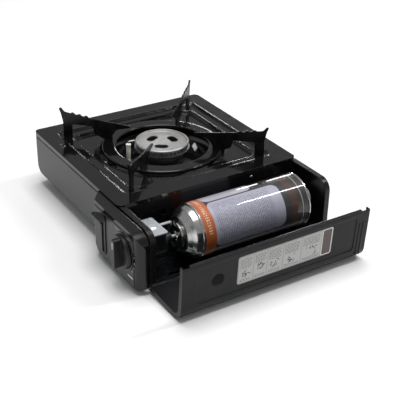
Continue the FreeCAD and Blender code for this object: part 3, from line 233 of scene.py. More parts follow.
def vitreous_enamel(name, roughness, shine, rim_bend_mm, press_bend_mm):
    """shine is how strongly it reflects, 0.5 being plain glass. Pressed steps bend softer than the rim."""
    finish, shader = new_finish(name, "0b0b0c", roughness, Specular_IOR_Level=shine)
    haze = speckle(finish, 14.0)
    sheen = between(finish, haze, roughness * 0.7, roughness * 1.5, 0.3, 0.7)
    link(finish, sheen, shader.inputs["Roughness"])
    dust = between(finish, speckle(finish, 1.2, detail=4.0), 0.0, 0.5, 0.62, 0.72)
    body = blend_colours(finish, dust, "0a0a0b", "1b1b1d")
    edge = between(finish, worn_edges(finish, 0.6), 0.0, 0.35)
    link(finish, blend_colours(finish, edge, body, "48484c"), shader.inputs["Base Color"])
    parts = add_node(finish, "ShaderNodeSeparateXYZ", {0: place(finish)}).outputs
    rim = PRESSED_FROM_RIM_MM * MM
    middle = both(finish, inside(finish, parts["X"], plate_low.x + rim, plate_high.x - rim, MM),
                  inside(finish, parts["Y"], plate_low.y + rim, plate_high.y - rim, MM))
    bend = between(finish, middle, rim_bend_mm * MM, press_bend_mm * MM)
    bump(finish, shader, speckle(finish, ENAMEL_WAVE_MM), ENAMEL_WAVE_DEPTH_MM, bend)
    return finish


plate_low, plate_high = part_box("burner_plate")
enamel = vitreous_enamel("vitreous_enamel_black", 0.10, 0.45, 0.5, 3.0)
fin_enamel = vitreous_enamel("vitreous_enamel_satin", 0.26, 0.3, 0.4, 0.4)
print("enamel nodes:", len(enamel.node_tree.nodes))

# %% [markdown]
# The tray, the bay walls and the lid are powder coated sheet steel.
# The powder melts into a satin skin with a fine pebble that hides the metal.
# Two tones are used, because the lid's coat is a shade greyer than the tray's.

# %% Powder coat
POWDER_PEBBLE_MM = 0.9
POWDER_PEBBLE_DEPTH_MM = 0.012
POWDER_BEND = 0.9 * MM


def powder_coat(name, colour, shade, worn, roughness, shine):
    """A pebbled coat that drifts from colour to shade and turns to worn on sharp edges."""
    finish, shader = new_finish(name, colour, roughness, Specular_IOR_Level=shine)
    cloud = speckle(finish, 30.0, detail=3.0)
    body = blend_colours(finish, between(finish, cloud, 0.0, 1.0, 0.35, 0.65), colour, shade)
    edge = between(finish, worn_edges(finish, 0.5), 0.0, 0.55)
    link(finish, blend_colours(finish, edge, body, worn), shader.inputs["Base Color"])
    fine = speckle(finish, POWDER_PEBBLE_MM, detail=3.0)
    sheen = between(finish, fine, roughness - 0.05, roughness + 0.09, 0.3, 0.7)
    link(finish, sheen, shader.inputs["Roughness"])
    bump(finish, shader, fine, POWDER_PEBBLE_DEPTH_MM, POWDER_BEND)
    return finish


tray_coat = powder_coat("powder_coat_black", "0e0e10", "141416", "343437", 0.28, 0.3)
lid_coat = powder_coat("powder_coat_graphite", "151517", "1a1a1c", "48484c", 0.30, 0.2)
print("coats:", tray_coat.name, lid_coat.name)

# %% [markdown]
# The broad face of the control panel is sprayed with a satin charcoal paint that holds fine metal flake.
# Flake gives the paint its soft sheen: tiny points of a lighter grey that show only close up.

# %% Charcoal flake paint
FLAKE_MM = 0.7
SPRAY_MM = 0.5
SPRAY_DEPTH_MM = 0.012


def flake_paint():
    """Charcoal paint with flakes, darker clouds and paler worn edges."""
    finish, shader = new_finish("acrylic_paint_charcoal", "3e3e41", 0.42, metallic=0.2)
    flake = between(finish, speckle(finish, FLAKE_MM, detail=4.0), 0.0, 1.0, 0.45, 0.75)
    fleck = blend_colours(finish, flake, "3b3b3e", "4b4b4f")
    cloud = between(finish, speckle(finish, 45.0), 0.0, 0.5, 0.3, 0.7)
    body = blend_colours(finish, cloud, fleck, "363639")
    edge = between(finish, worn_edges(finish, 0.4), 0.0, 0.6)
    link(finish, blend_colours(finish, edge, body, "6b6b6e"), shader.inputs["Base Color"])
    link(finish, between(finish, flake, 0.40, 0.50), shader.inputs["Roughness"])
    bump(finish, shader, speckle(finish, SPRAY_MM, detail=3.0), SPRAY_DEPTH_MM)
    return finish


panel_paint = flake_paint()
print("flake:", FLAKE_MM, "mm")

# %% [markdown]
# The panel moulding, knob, paddle and bezels are injection moulded ABS.
# The mould is spark eroded, which leaves a fine even texture that scatters the light.
# Handled edges lose that texture and turn a little brighter.

# %% Moulded ABS
SPARK_TEXTURE_MM = 0.35
SPARK_DEPTH_MM = 0.012
ABS_BEND = 0.8 * MM


def moulded_abs(name, colour, roughness, worn):
    """Spark-eroded plastic, smeared by hands and brighter on its edges."""
    finish, shader = new_finish(name, colour, roughness, Specular_IOR_Level=0.4)
    edge = between(finish, worn_edges(finish, 0.5), 0.0, 0.5)
    link(finish, blend_colours(finish, edge, colour, worn), shader.inputs["Base Color"])
    smear = speckle(finish, 18.0, detail=3.0)
    sheen = between(finish, smear, roughness - 0.08, roughness + 0.08, 0.3, 0.7)
    link(finish, sheen, shader.inputs["Roughness"])
    texture = speckle(finish, SPARK_TEXTURE_MM, detail=3.0)
    bump(finish, shader, texture, SPARK_DEPTH_MM, ABS_BEND)
    return finish


abs_black = moulded_abs("abs_black_spark_textured", "0f0f10", 0.38, "3c3c3f")
abs_gloss = moulded_abs("abs_black_polished", "0d0d0e", 0.22, "4a4a4d")
print("ABS finishes:", abs_black.name, abs_gloss.name)

# %% [markdown]
# Bare metals share one way of working: a metal takes its colour from its reflection,
# so the base colour is the tint of the reflection and the roughness says how it was made.
# Rolled, drawn and turned metals carry fine lines along the way they were worked.
# The lines come from noise that is stretched along that direction.

# %% Bare metals
METAL_HAZE_MM = 12.0
METALS = []


def bare_metal(name, colour, dull, roughness, stretch, line_mm, relief_mm=0.01, metallic=1.0):
    """A metal with lines that run where stretch is small, and a duller haze in clouds."""
    finish, shader = new_finish(name, colour, roughness, metallic)
    haze = between(finish, speckle(finish, METAL_HAZE_MM, detail=3.0), 0.0, 1.0, 0.35, 0.7)
    link(finish, blend_colours(finish, haze, colour, dull), shader.inputs["Base Color"])
    lines = speckle(finish, line_mm, stretch, detail=3.0)
    low, high = roughness * 0.75, roughness * 1.3
    link(finish, between(finish, lines, low, high, 0.3, 0.7), shader.inputs["Roughness"])
    bump(finish, shader, lines, relief_mm)
    METALS.append(name)
    return finish


nickel = bare_metal("steel_nickel_plated", "cfcec9", "b4b3ae", 0.20, (1, 1, 1), 0.8)
zinc = bare_metal("steel_zinc_plated", "dcdfe2", "c9cdd1", 0.24, (0.3, 1, 1), 4.0, 0.006, 0.6)
cradle_zinc = bare_metal("steel_galvanised_dark", "5b6465", "454d4e", 0.24, (1, 0.12, 1), 0.9, 0.012)
tube_steel = bare_metal("steel_tube_aluminised", "8d8d8c", "6d6c6a", 0.42, (0.2, 1, 1), 1.0)
cast_alloy = bare_metal("aluminium_die_cast", "8b8c8e", "6e6f71", 0.48, (1, 1, 1), 0.7, 0.03)
valve_alloy = bare_metal("zinc_die_cast_dark", "4c4d50", "38393b", 0.42, (1, 1, 1), 0.9, 0.02)
pipe_alloy = bare_metal("aluminium_drawn_tube", "c6c7ca", "a6a7aa", 0.27, (0.2, 0.2, 1), 0.5)
brass = bare_metal("brass_turned", "c9a24e", "a37f38", 0.25, (1, 0.2, 1), 0.5)
tinplate = bare_metal("tinplate_bright", "d4d4d2", "bab9b6", 0.21, (1, 1, 1), 6.0, 0.03)
print("metals:", len(METALS))

# %% [markdown]
# The burner cap is a pressed steel disc that has been hot many times.
# Heat leaves it matt and light grey with a faint warm tint towards the rim.
# It could be a plain bare metal, but then it would shine, and a heated one has a broad dull reflection.

# %% Heat-dulled steel
CAP_RIM_MM = 34.5
RIM_TINT_MM = 12.0


def heated_steel(middle):
    """Matt grey round the middle of the cap, warmer towards its rim, with clouds of soot."""
    finish, shader = new_finish("steel_heat_dulled", "a9a8a6", 0.46, metallic=0.85)
    grain = speckle(finish, 0.6, detail=4.0)
    sides = {0: place(finish), 1: middle}
    away = add_node(finish, "ShaderNodeVectorMath", sides, operation="DISTANCE").outputs["Value"]
    rim = between(finish, away, 0.0, 0.5, (CAP_RIM_MM - RIM_TINT_MM) * MM, CAP_RIM_MM * MM)
    body = blend_colours(finish, rim, "b4b3b2", "9c9690")
    soot = between(finish, speckle(finish, 9.0, detail=4.0), 0.0, 0.45, 0.5, 0.8)
    link(finish, blend_colours(finish, soot, body, "7c7873"), shader.inputs["Base Color"])
    link(finish, between(finish, grain, 0.40, 0.56, 0.3, 0.7), shader.inputs["Roughness"])
    bump(finish, shader, grain, 0.02)
    return finish


cap_low, cap_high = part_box("burner_cap")
cap_steel = heated_steel((cap_low + cap_high) / 2)
print("cap middle, mm:", [round(c / MM, 1) for c in (cap_low + cap_high) / 2])

# %% [markdown]
# The soft and pale parts: rubber feet, the silicone sleeve on the ignition lead,
# the white polypropylene of the igniter and the cartridge's cap, and the alumina round the electrode.

# %% Rubber, silicone, polypropylene and alumina


def plain_skin(name, colour, shade, roughness, grain_mm, relief_mm, **sockets):
    """A skin of one colour with soft clouds of shade and a fine grain."""
    finish, shader = new_finish(name, colour, roughness, **sockets)
    cloud = between(finish, speckle(finish, 8.0, detail=3.0), 0.0, 1.0, 0.35, 0.7)
    link(finish, blend_colours(finish, cloud, colour, shade), shader.inputs["Base Color"])
    grain = speckle(finish, grain_mm, detail=3.0)
    sheen = between(finish, grain, roughness - 0.06, roughness + 0.08, 0.3, 0.7)
    link(finish, sheen, shader.inputs["Roughness"])
    bump(finish, shader, grain, relief_mm)
    return finish


rubber = plain_skin("rubber_moulded", "171717", "222222", 0.72, 0.6, 0.03)
sleeve = plain_skin("silicone_sleeve", "151515", "1e1e1e", 0.50, 0.5, 0.01)
white_pp = plain_skin("polypropylene_white", "e9e8e4", "dddbd4", 0.36, 0.5, 0.008,
                      Subsurface_Weight=0.1, Subsurface_Scale=0.002)
alumina = plain_skin("alumina_unglazed", "eeebe4", "dcd6ca", 0.55, 0.4, 0.01)
print("pale and soft finishes:", [f.name for f in (rubber, sleeve, white_pp, alumina)])

# %% [markdown]
# The cartridge is printed tinplate under clear varnish. The print wraps round the can,
# so its pattern is laid out in millimetres along the can and round it, from the piece's own coordinates.
# A copper band lies beside the front seam, then a pale field with rounded corners, and a dark field behind.
# The small print is drawn as plain grey lines that say nothing.

# %% Layout of the can's print
can_low, can_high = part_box("can_body")
CAN_MIDDLE = (can_low + can_high) / 2
CAN_RADIUS = (can_high.x - can_low.x) / 2
CAN_LENGTH_MM = (can_high.y - can_low.y) / MM
COPPER_BAND_MM = 14.0
MARKS_ALONG_MM = (4.6, 9.2)
MARKS_AROUND_MM = (-34.0, 44.0)
FIELD_CORNER_MM = 8.0
FIELD_ALONG_MM = (14.0, 112.0)
FIELD_AROUND_MM = (4.0, 62.0)
UPPER_ALONG_MM = (14.0, 82.0)
UPPER_AROUND_MM = (-46.0, 2.0)
PAGE_ALONG_MM = (18.0, 98.0)
PAGE_AROUND_MM = (8.0, 56.0)
STRIPE_ALONG_MM = (122.0, 131.0)
LINE_ALONG_MM = (137.5, 138.6)
LINE_PITCH_MM = 2.3
MARK_PITCH_MM = 3.1


def can_coordinates(finish):
    """Millimetres along the can from its front, and round it from the top towards the lid side."""
    parts = add_node(finish, "ShaderNodeSeparateXYZ", {0: place(finish)}).outputs
    side = maths(finish, "SUBTRACT", parts["X"], CAN_MIDDLE.x)
    height = maths(finish, "SUBTRACT", parts["Z"], CAN_MIDDLE.z)
    around = maths(finish, "MULTIPLY", maths(finish, "ARCTAN2", side, height), CAN_RADIUS / MM)
    along = between(finish, parts["Y"], 0.0, CAN_LENGTH_MM, can_low.y, can_high.y)
    return along, around


def rounded_field(finish, along, around, along_span, around_span, corner):
    """1 inside a rectangle with rounded corners, in the print's millimetres."""
    past = []
    for value, (low, high) in ((along, along_span), (around, around_span)):
        size = maths(finish, "ABSOLUTE", maths(finish, "SUBTRACT", value, (low + high) / 2))
        reach = maths(finish, "SUBTRACT", size, (high - low) / 2 - corner)
        past.append(maths(finish, "MAXIMUM", reach))
    flat = add_node(finish, "ShaderNodeCombineXYZ", {0: past[0], 1: past[1]}).outputs[0]
    away = add_node(finish, "ShaderNodeVectorMath", {0: flat}, operation="LENGTH").outputs["Value"]
    return between(finish, away, 1.0, 0.0, corner - 0.15, corner + 0.15)


def small_print(finish, along, around, pitch, word_mm):
    """Rows of short dashes that read as lines of small print without a single letter."""
    phase = maths(finish, "DIVIDE", along, pitch)
    row = maths(finish, "FLOOR", phase)
    stripe = inside(finish, maths(finish, "FRACT", phase), 0.25, 0.75, 0.12)
    spot = maths(finish, "DIVIDE", around, word_mm)
    where = add_node(finish, "ShaderNodeCombineXYZ", {0: spot, 1: row}).outputs[0]
    settings = {"Vector": where, "Scale": 3.7, "Detail": 3.0}
    words = add_node(finish, "ShaderNodeTexNoise", settings).outputs["Fac"]
    return both(finish, stripe, step_at(finish, words, 0.47, 0.05))


print("can print: radius", round(CAN_RADIUS / MM, 1), "mm, length", round(CAN_LENGTH_MM, 1), "mm")

# %% [markdown]
# The print is put together from the back: first the dark ground with its stripe and line,
# then the two pale fields with their small print, and last the copper band with a row of plain marks.
# The varnish over all of it is the shader's clear coat.

# %% Printed tinplate


def printed_tinplate():
    """Dark ground, two pale fields and a copper band under clear varnish."""
    finish, shader = new_finish("tinplate_printed_varnished", "a9a8b6", 0.5, metallic=0.1,
                                Coat_Weight=0.8, Coat_Roughness=0.03)
    along, around = can_coordinates(finish)
    bare = blend_colours(finish, speckle(finish, 9.0), "201d1c", "2b2826")
    dark = blend_colours(finish, inside(finish, along, *STRIPE_ALONG_MM), bare, "41251a")
    dark = blend_colours(finish, inside(finish, along, *LINE_ALONG_MM), dark, "9b988f")
    field = rounded_field(finish, along, around, FIELD_ALONG_MM, FIELD_AROUND_MM, FIELD_CORNER_MM)
    upper = rounded_field(finish, along, around, UPPER_ALONG_MM, UPPER_AROUND_MM, FIELD_CORNER_MM)
    page = both(finish, inside(finish, along, *PAGE_ALONG_MM), inside(finish, around, *PAGE_AROUND_MM))
    words = both(finish, small_print(finish, along, around, LINE_PITCH_MM, 5.0), page,
                 between(finish, speckle(finish, 20.0), 0.5, 1.0))
    pale = blend_colours(finish, words, "a09fae", "62616f")
    colour = blend_colours(finish, upper, dark, "a8a5af")
    colour = blend_colours(finish, field, colour, pale)
    band = between(finish, along, 1.0, 0.0, COPPER_BAND_MM - 0.2, COPPER_BAND_MM + 0.2)
    copper = blend_colours(finish, speckle(finish, 12.0), "a5501f", "b55f2c")
    marks = both(finish, small_print(finish, around, along, MARK_PITCH_MM, 4.0),
                 inside(finish, along, *MARKS_ALONG_MM), inside(finish, around, *MARKS_AROUND_MM))
    copper = blend_colours(finish, marks, copper, "d9c3b0")
    colour = blend_colours(finish, band, colour, copper)
    link(finish, colour, shader.inputs["Base Color"])
    sheen = between(finish, speckle(finish, 4.0, detail=3.0), 0.45, 0.58, 0.3, 0.7)
    link(finish, sheen, shader.inputs["Roughness"])
    bump(finish, shader, speckle(finish, 11.0), 0.02)
    return finish


can_print = printed_tinplate()
print("can print nodes:", len(can_print.node_tree.nodes))

# %% [markdown]
# The lid carries a laminated paper label. Its paper is silver grey under a clear film,
# so it takes a soft shine. The printed panels on it are separate thin pieces, made further down.

# %% Laminated paper
FILM_ROUGHNESS = 0.32
FIBRE_MM = 0.8
FIBRE_DEPTH_MM = 0.006


def laminated(name, colour, shade):
    """Paper or ink of one colour, with its fibres showing through the film."""
    finish, shader = new_finish(name, colour, FILM_ROUGHNESS, Coat_Weight=0.3, Coat_Roughness=0.15)
    fibre = speckle(finish, FIBRE_MM, (1, 0.4, 1), detail=4.0)
    tint = between(finish, fibre, 0.0, 1.0, 0.3, 0.7)
    link(finish, blend_colours(finish, tint, colour, shade), shader.inputs["Base Color"])
    sheen = between(finish, speckle(finish, 7.0), FILM_ROUGHNESS - 0.05, FILM_ROUGHNESS + 0.08)
    link(finish, sheen, shader.inputs["Roughness"])
    bump(finish, shader, fibre, FIBRE_DEPTH_MM)
    return finish


label_paper = laminated("paper_laminated_silver", "9e9e9c", "949492")
panel_ink = laminated("ink_pale_grey", "b5b5b3", "abaaa8")
stroke_ink = laminated("ink_dark_grey", "424244", "363638")
brown_ink = laminated("ink_dark_brown", "45302b", "3a2824")
white_ink = laminated("ink_white", "ededeb", "e2e2e0")
# This pale grey serves the printed dots and also the painted highlight line over the knob.
pale_ink_and_highlight = laminated("ink_light_grey_and_painted_highlight", "a8a8a9", "9c9c9e")
inks = (panel_ink, stroke_ink, brown_ink, white_ink, pale_ink_and_highlight)
print("paper:", label_paper.name, "inks:", [f.name for f in inks])

# %% [markdown]
# Every part of the frame now takes its finish. A part could be painted face by face,
# but each real piece has one coat, so one material goes on each.

# %% Finishes on the frame's own parts
FINISHES = {
    enamel: ["burner_plate", "burner_dish", "trivet_ring"],
    fin_enamel: ["trivet_fin_back_right", "trivet_fin_back_left", "trivet_fin_front_left",
                 "trivet_fin_front_right"],
    tray_coat: ["base_tray", "bay_front_wall", "bay_rear_wall", "partition"],
    lid_coat: ["lid_shell"],
    panel_paint: ["panel_face"],
    abs_black: ["knob", "lever_paddle", "slot_bezel"],
    abs_gloss: ["front_panel", "knob_ring"],
    nickel: ["hinge_pins", "partition_rivet", "bracket_screws", "electrode_pin", "flame_target",
             "lever_pivot_pin"],
    zinc: ["valve_bracket", "injector_stay", "lever_arm"],
    cradle_zinc: ["cradle"],
    tube_steel: ["mixing_tube"],
    cap_steel: ["burner_cap"],
    cast_alloy: ["burner_head"],
    valve_alloy: ["valve_body"],
    pipe_alloy: ["gas_pipe"],
    brass: ["injector", "knob_spindle"],
    tinplate: ["can_dome", "can_bottom", "can_collar"],
    can_print: ["can_body"],
    white_pp: ["igniter", "can_end_cap", "can_stem"],
    alumina: ["electrode"],
    label_paper: ["lid_label"],
    rubber: ["feet"],
    sleeve: ["ignition_lead"],
}


def wear(finish, names):
    """Puts one finish on the named parts of the frame."""
    for name in names:
        part = nodes[name]
        if not part.material_slots:
            part.data.materials.append(finish)
        for holder in part.material_slots:
            holder.material = finish
    return len(names)


dressed = sum(wear(finish, names) for finish, names in FINISHES.items())
print("parts with a finish:", dressed, "of", len(nodes))

# %% [markdown]
# New pieces are modelled as by hand: a primitive at its size and place, shaped in edit mode.
# An operator works on all that is selected, so the helpers clear the selection first
# and then pick edges in code, by which way they run.

# %% Helpers for modelling
SMOOTH_UP_TO = math.radians(40)


def clear_selection():
    """Leaves edit mode and selects nothing."""
    if bpy.context.object and bpy.context.object.mode != "OBJECT":
        bpy.ops.object.mode_set(mode="OBJECT")
    bpy.ops.object.select_all(action="DESELECT")


def edit(piece):
    """Opens a piece in edit mode with nothing selected."""
    clear_selection()
    piece.select_set(True)
    bpy.context.view_layer.objects.active = piece
    bpy.ops.object.mode_set(mode="EDIT")
    bpy.ops.mesh.select_all(action="DESELECT")


def finished(piece, name, body, finish):
    """Puts the piece's place into its mesh, names it and gives it its finish, body and slot."""
    clear_selection()
    piece.select_set(True)
    bpy.context.view_layer.objects.active = piece
    bpy.ops.object.transform_apply(location=True, rotation=True, scale=True)
    bpy.ops.object.shade_smooth_by_angle(angle=SMOOTH_UP_TO)
    piece.name = name
    piece.data.name = name
    piece.data.materials.clear()
    piece.data.materials.append(finish)
    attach(piece, body)
    clear_selection()
    return piece


def add_block(centre, size):
    """A box of that size round a centre, both in metres, ready to shape."""
    clear_selection()
    bpy.ops.mesh.primitive_cube_add(size=1, location=centre)
    piece = bpy.context.object
    piece.scale = size
    bpy.ops.object.transform_apply(location=False, rotation=False, scale=True)
    return piece


def round_edges(piece, width_mm, segments, test):
    """Rounds the edges for which test(edge direction) is true."""
    edit(piece)
    bpy.ops.mesh.select_mode(type="EDGE")
    mesh = bmesh.from_edit_mesh(piece.data)
    for edge in mesh.edges:
        edge.select_set(bool(test((edge.verts[0].co - edge.verts[1].co).normalized())))
    bmesh.update_edit_mesh(piece.data)
    bpy.ops.mesh.bevel(offset=width_mm * MM, segments=segments, affect="EDGES")
    clear_selection()


print("helpers ready")

# %% [markdown]
# The white dash low on the painted panel face is a screen-printed mark.
# It is a film of ink, so it is a very thin plate with round ends that lies on the paint.

# %% White dash on the panel
face_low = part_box("panel_face")[0]
DASH_LENGTH_MM = 12.0
DASH_WIDTH_MM = 1.6
DASH_MIDDLE_MM = (102.5, 18.2)
THIN_FILM_MM = 0.12
Y_AXIS = 1


def flat_film(name, body, finish, centre, size, corner_mm):
    """A flat film, of ink for the print and of pale colour for the painted highlight line: a box whose
    corners are rounded about its thin axis, y.
    """
    piece = add_block(centre, size)
    round_edges(piece, corner_mm, 5, lambda d: abs(d[Y_AXIS]) > 0.99)
    return finished(piece, name, body, finish)


dash = flat_film("panel_dash", "body", white_ink,
                 Vector((DASH_MIDDLE_MM[0] * MM, face_low.y - THIN_FILM_MM * MM / 2, DASH_MIDDLE_MM[1] * MM)),
                 Vector((DASH_LENGTH_MM, THIN_FILM_MM, DASH_WIDTH_MM)) * MM, DASH_WIDTH_MM * 0.45)
print("dash spans x", [round(v / MM, 1) for v in (dash.bound_box[0][0], dash.bound_box[6][0])])

# %% [markdown]
# A fine pale line over the knob is a painted highlight, the light caught along the upper edge of the painted
# face, and dots that grow round the ring show which way gives more gas.
# The dots could be a picture on the ring, but small discs of ink keep their edge at any distance.
# One disc is a circle that is filled and extruded, and each further dot is the same steps at a new size.
# The pointer on the knob is a much thinner film, because nothing of the stove stands further forward.

# %% Painted highlight line over the knob and dots round it
ring_low, ring_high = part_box("knob_ring")
RING_MIDDLE = (ring_low + ring_high) / 2
RING_RADIUS_MM = (ring_high.x - ring_low.x) / 2 / MM
HIGHLIGHT_LINE_SPAN_MM = (68.0, 103.0)
HIGHLIGHT_LINE_HEIGHT_MM = 65.2
HIGHLIGHT_LINE_WIDTH_MM = 0.7
DOT_COUNT = 9
DOTS_PAST_RING_MM = 2.2
DOT_SMALLEST_MM = 0.45
DOT_GROWTH_MM = 0.07
DOT_START = math.radians(95)
DOT_STEP = math.radians(-17)
POINTER_LENGTH_MM = 9.0
POINTER_WIDTH_MM = 1.3
POINTER_ABOVE_AXIS_MM = 10.5
POINTER_FILM_MM = 0.02

# The pale line over the knob is painted highlight: light caught along the upper edge of the painted face,
# drawn as a pale film.
highlight_line_middle = Vector((sum(HIGHLIGHT_LINE_SPAN_MM) / 2 * MM, face_low.y - THIN_FILM_MM * MM / 2, HIGHLIGHT_LINE_HEIGHT_MM * MM))
flat_film("panel_painted_highlight_line", "body", pale_ink_and_highlight, highlight_line_middle,
          Vector((HIGHLIGHT_LINE_SPAN_MM[1] - HIGHLIGHT_LINE_SPAN_MM[0], THIN_FILM_MM, HIGHLIGHT_LINE_WIDTH_MM)) * MM, 0.3)


def ink_dot(name, body, finish, middle, radius_mm, depth_mm):
    """A round film of ink that faces the front."""
    clear_selection()
    bpy.ops.mesh.primitive_circle_add(vertices=20, radius=radius_mm * MM, fill_type="NGON",
                                      location=middle, rotation=(math.pi / 2, 0, 0))
    dot = bpy.context.object
    edit(dot)
    bpy.ops.mesh.select_all(action="SELECT")
    bpy.ops.mesh.extrude_region_move(TRANSFORM_OT_translate={"value": (0, -depth_mm * MM, 0)})
    bpy.ops.mesh.select_all(action="SELECT")
    bpy.ops.mesh.normals_make_consistent(inside=False)
    return finished(dot, name, body, finish)


for i in range(DOT_COUNT):
    angle = DOT_START + i * DOT_STEP
    radius = RING_RADIUS_MM + DOTS_PAST_RING_MM
    middle = Vector((RING_MIDDLE.x + radius * math.cos(angle) * MM, face_low.y,
                     RING_MIDDLE.z + radius * math.sin(angle) * MM))
    ink_dot(f"scale_dot_{i + 1}", "body", pale_ink_and_highlight, middle,
            DOT_SMALLEST_MM + i * DOT_GROWTH_MM, THIN_FILM_MM)
knob_low, knob_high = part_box("knob")
pointer_middle = Vector(((knob_low.x + knob_high.x) / 2, knob_low.y - POINTER_FILM_MM * MM / 2,
                         RING_MIDDLE.z + POINTER_ABOVE_AXIS_MM * MM))
flat_film("knob_pointer", "knob", white_ink, pointer_middle,
          Vector((POINTER_WIDTH_MM, POINTER_FILM_MM, POINTER_LENGTH_MM)) * MM, 0.5)
print("dots:", DOT_COUNT, "pointer over x", round(pointer_middle.x / MM, 1))

# %% [markdown]
# The lid's label shows pale panels with rows of strokes, and a dark block with a white outline.
# The panels are films of ink again, set in a row along the label by a loop.
# The open lid leans out past upright, so each film is made upright and then turned about the label's middle.
# The strokes are short plain bars of uneven length: they look like small print and hold no word.

# %% Panels on the lid's label
label_low, label_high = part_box("lid_label")
LABEL_MIDDLE = (label_low + label_high) / 2
lid_hinge = next(j for j in frame["record"]["behaviour"]["joints"] if j["name"] == "lid_hinge")
LID_LEAN = math.radians(lid_hinge["range_deg"][1] - 90)
LABEL_THICK_MM = 0.3
LABEL_LENGTH_MM = (label_high.y - label_low.y) / MM
LABEL_HEIGHT_MM = 36.0
LABEL_MARGIN_MM = 1.6
PANEL_WIDTHS_MM = (18.0, 17.0, 20.0, 24.0, 27.0)
PANEL_GAP_MM = 1.4
OUTLINE_MARGIN_MM = 0.8
OUTLINE_MM = 0.9
FILM_MM = 0.06


def on_label(along, up, length, height, layer=1):
    """Centre and size of a film on the upright label, from millimetres along it and up it."""
    x = LABEL_MIDDLE.x + (LABEL_THICK_MM / 2 + (layer - 0.5) * FILM_MM) * MM
    y = label_low.y + (along + length / 2) * MM
    z = LABEL_MIDDLE.z + (up + height / 2 - LABEL_HEIGHT_MM / 2) * MM
    return Vector((x, y, z)), Vector((FILM_MM, length, height)) * MM


def lean(piece):
    """Turns an upright film about the label's middle until it lies on the leaning lid."""
    turn = Matrix.Rotation(LID_LEAN, 4, "Y")
    away = Matrix.Translation(LABEL_MIDDLE)
    piece.matrix_world = away @ turn @ away.inverted() @ piece.matrix_world
    return piece


def label_film(name, finish, along, up, length, height, corner_mm, layer=1):
    """A film of ink on the label, with rounded corners."""
    piece = add_block(*on_label(along, up, length, height, layer))
    round_edges(piece, corner_mm, 4, lambda d: abs(d.x) > 0.99)
    return finished(lean(piece), name, "lid", finish)


panel_starts = []
cursor = LABEL_MARGIN_MM
for i, width in enumerate(PANEL_WIDTHS_MM):
    panel_starts.append(cursor)
    label_film(f"label_panel_{i + 1}", panel_ink, cursor, LABEL_MARGIN_MM, width,
               LABEL_HEIGHT_MM - 2 * LABEL_MARGIN_MM, 1.0)
    cursor += width + PANEL_GAP_MM
block_width = LABEL_LENGTH_MM - LABEL_MARGIN_MM - cursor
label_film("label_block_outline", white_ink, cursor, OUTLINE_MARGIN_MM, block_width + OUTLINE_MARGIN_MM,
           LABEL_HEIGHT_MM - 2 * OUTLINE_MARGIN_MM, 1.6)
label_film("label_block", brown_ink, cursor + OUTLINE_MM, OUTLINE_MARGIN_MM + OUTLINE_MM,
           block_width + OUTLINE_MARGIN_MM - 2 * OUTLINE_MM,
           LABEL_HEIGHT_MM - 2 * (OUTLINE_MARGIN_MM + OUTLINE_MM), 1.0, 2)
print("label block is", round(block_width, 1), "mm wide")

# %% [markdown]
# Each panel holds a few rows of fine dashes and a small bold figure made of crossing bars.
# Hundreds of operator calls would be slow, so all the bars of one panel are added to one mesh.
# Each bar gets its length from a seeded random number, so every run draws the same strokes.

# %% Strokes on the label
STROKE_MM = 0.55
ROW_PITCH_MM = 1.9
STROKE_MARGIN_MM = 1.5
STROKE_GAP_MM = 0.8
STROKE_LENGTHS_MM = (1.2, 4.0)
FIRST_ROW_MM = 1.6
FIGURE_STROKE_MM = 0.9
FIGURE_STROKES = 9
FIGURE_LENGTHS_MM = (2.0, 5.5)
FIGURE_TILTS = (-0.9, -0.5, 0.4, 0.9, 1.5)


def film_box(mesh, middle, along, up, length, width, tilt):
    """Adds one thin bar to a mesh, in the label's plane, turned by tilt about its own middle."""
    turn = Matrix.Rotation(tilt, 4, "X")
    for vert in bmesh.ops.create_cube(mesh, size=1.0)["verts"]:
        vert.co = turn @ Vector((vert.co.x * FILM_MM, vert.co.y * length, vert.co.z * width)) * MM
        vert.co += middle + Vector((0, along, up)) * MM


def panel_strokes(number, start, width):
    """Rows of dashes over the upper part of a panel and a figure of crossing bars in the lower part."""
    chance = random.Random(number)
    middle, _ = on_label(start, LABEL_MARGIN_MM, 0, 0, 2)
    mesh = bmesh.new()
    inner = LABEL_HEIGHT_MM - 2 * LABEL_MARGIN_MM
    rows = int(inner / ROW_PITCH_MM) - 1
    figure_low, figure_high = inner * 0.14, inner * (0.50 + 0.1 * chance.random())
    for row in range(rows):
        up = FIRST_ROW_MM + row * ROW_PITCH_MM
        if figure_low - 1.0 < up < figure_high + 1.0:
            continue
        along = STROKE_MARGIN_MM
        while along < width - 2 * STROKE_MARGIN_MM:
            length = min(chance.uniform(*STROKE_LENGTHS_MM), width - STROKE_MARGIN_MM - along)
            film_box(mesh, middle, along + length / 2, up, length, STROKE_MM, 0)
            along += length + STROKE_GAP_MM
    for _ in range(FIGURE_STROKES):
        along = width / 2 + chance.uniform(-0.28, 0.28) * width
        up = chance.uniform(figure_low + STROKE_MARGIN_MM, figure_high - STROKE_MARGIN_MM)
        length = chance.uniform(*FIGURE_LENGTHS_MM)
        film_box(mesh, middle, along, up, length, FIGURE_STROKE_MM, chance.choice(FIGURE_TILTS))
    data = bpy.data.meshes.new(f"label_strokes_{number}")
    mesh.to_mesh(data)
    mesh.free()
    piece = bpy.data.objects.new(data.name, data)
    bpy.context.scene.collection.objects.link(piece)
    return finished(lean(piece), data.name, "lid", stroke_ink)


for i, width in enumerate(PANEL_WIDTHS_MM):
    panel_strokes(i + 1, panel_starts[i], width)
print("strokes on", len(PANEL_WIDTHS_MM), "panels")

# %% [markdown]
# The lid's rear end is stiffened by two narrow beads that run up it, pressed out of the sheet.
# They could be cut into the lid's own mesh, but that mesh stays as the frame gives it.
# So each is a low bar with well rounded edges, half sunk in the skin, and the second is a copy of the first.

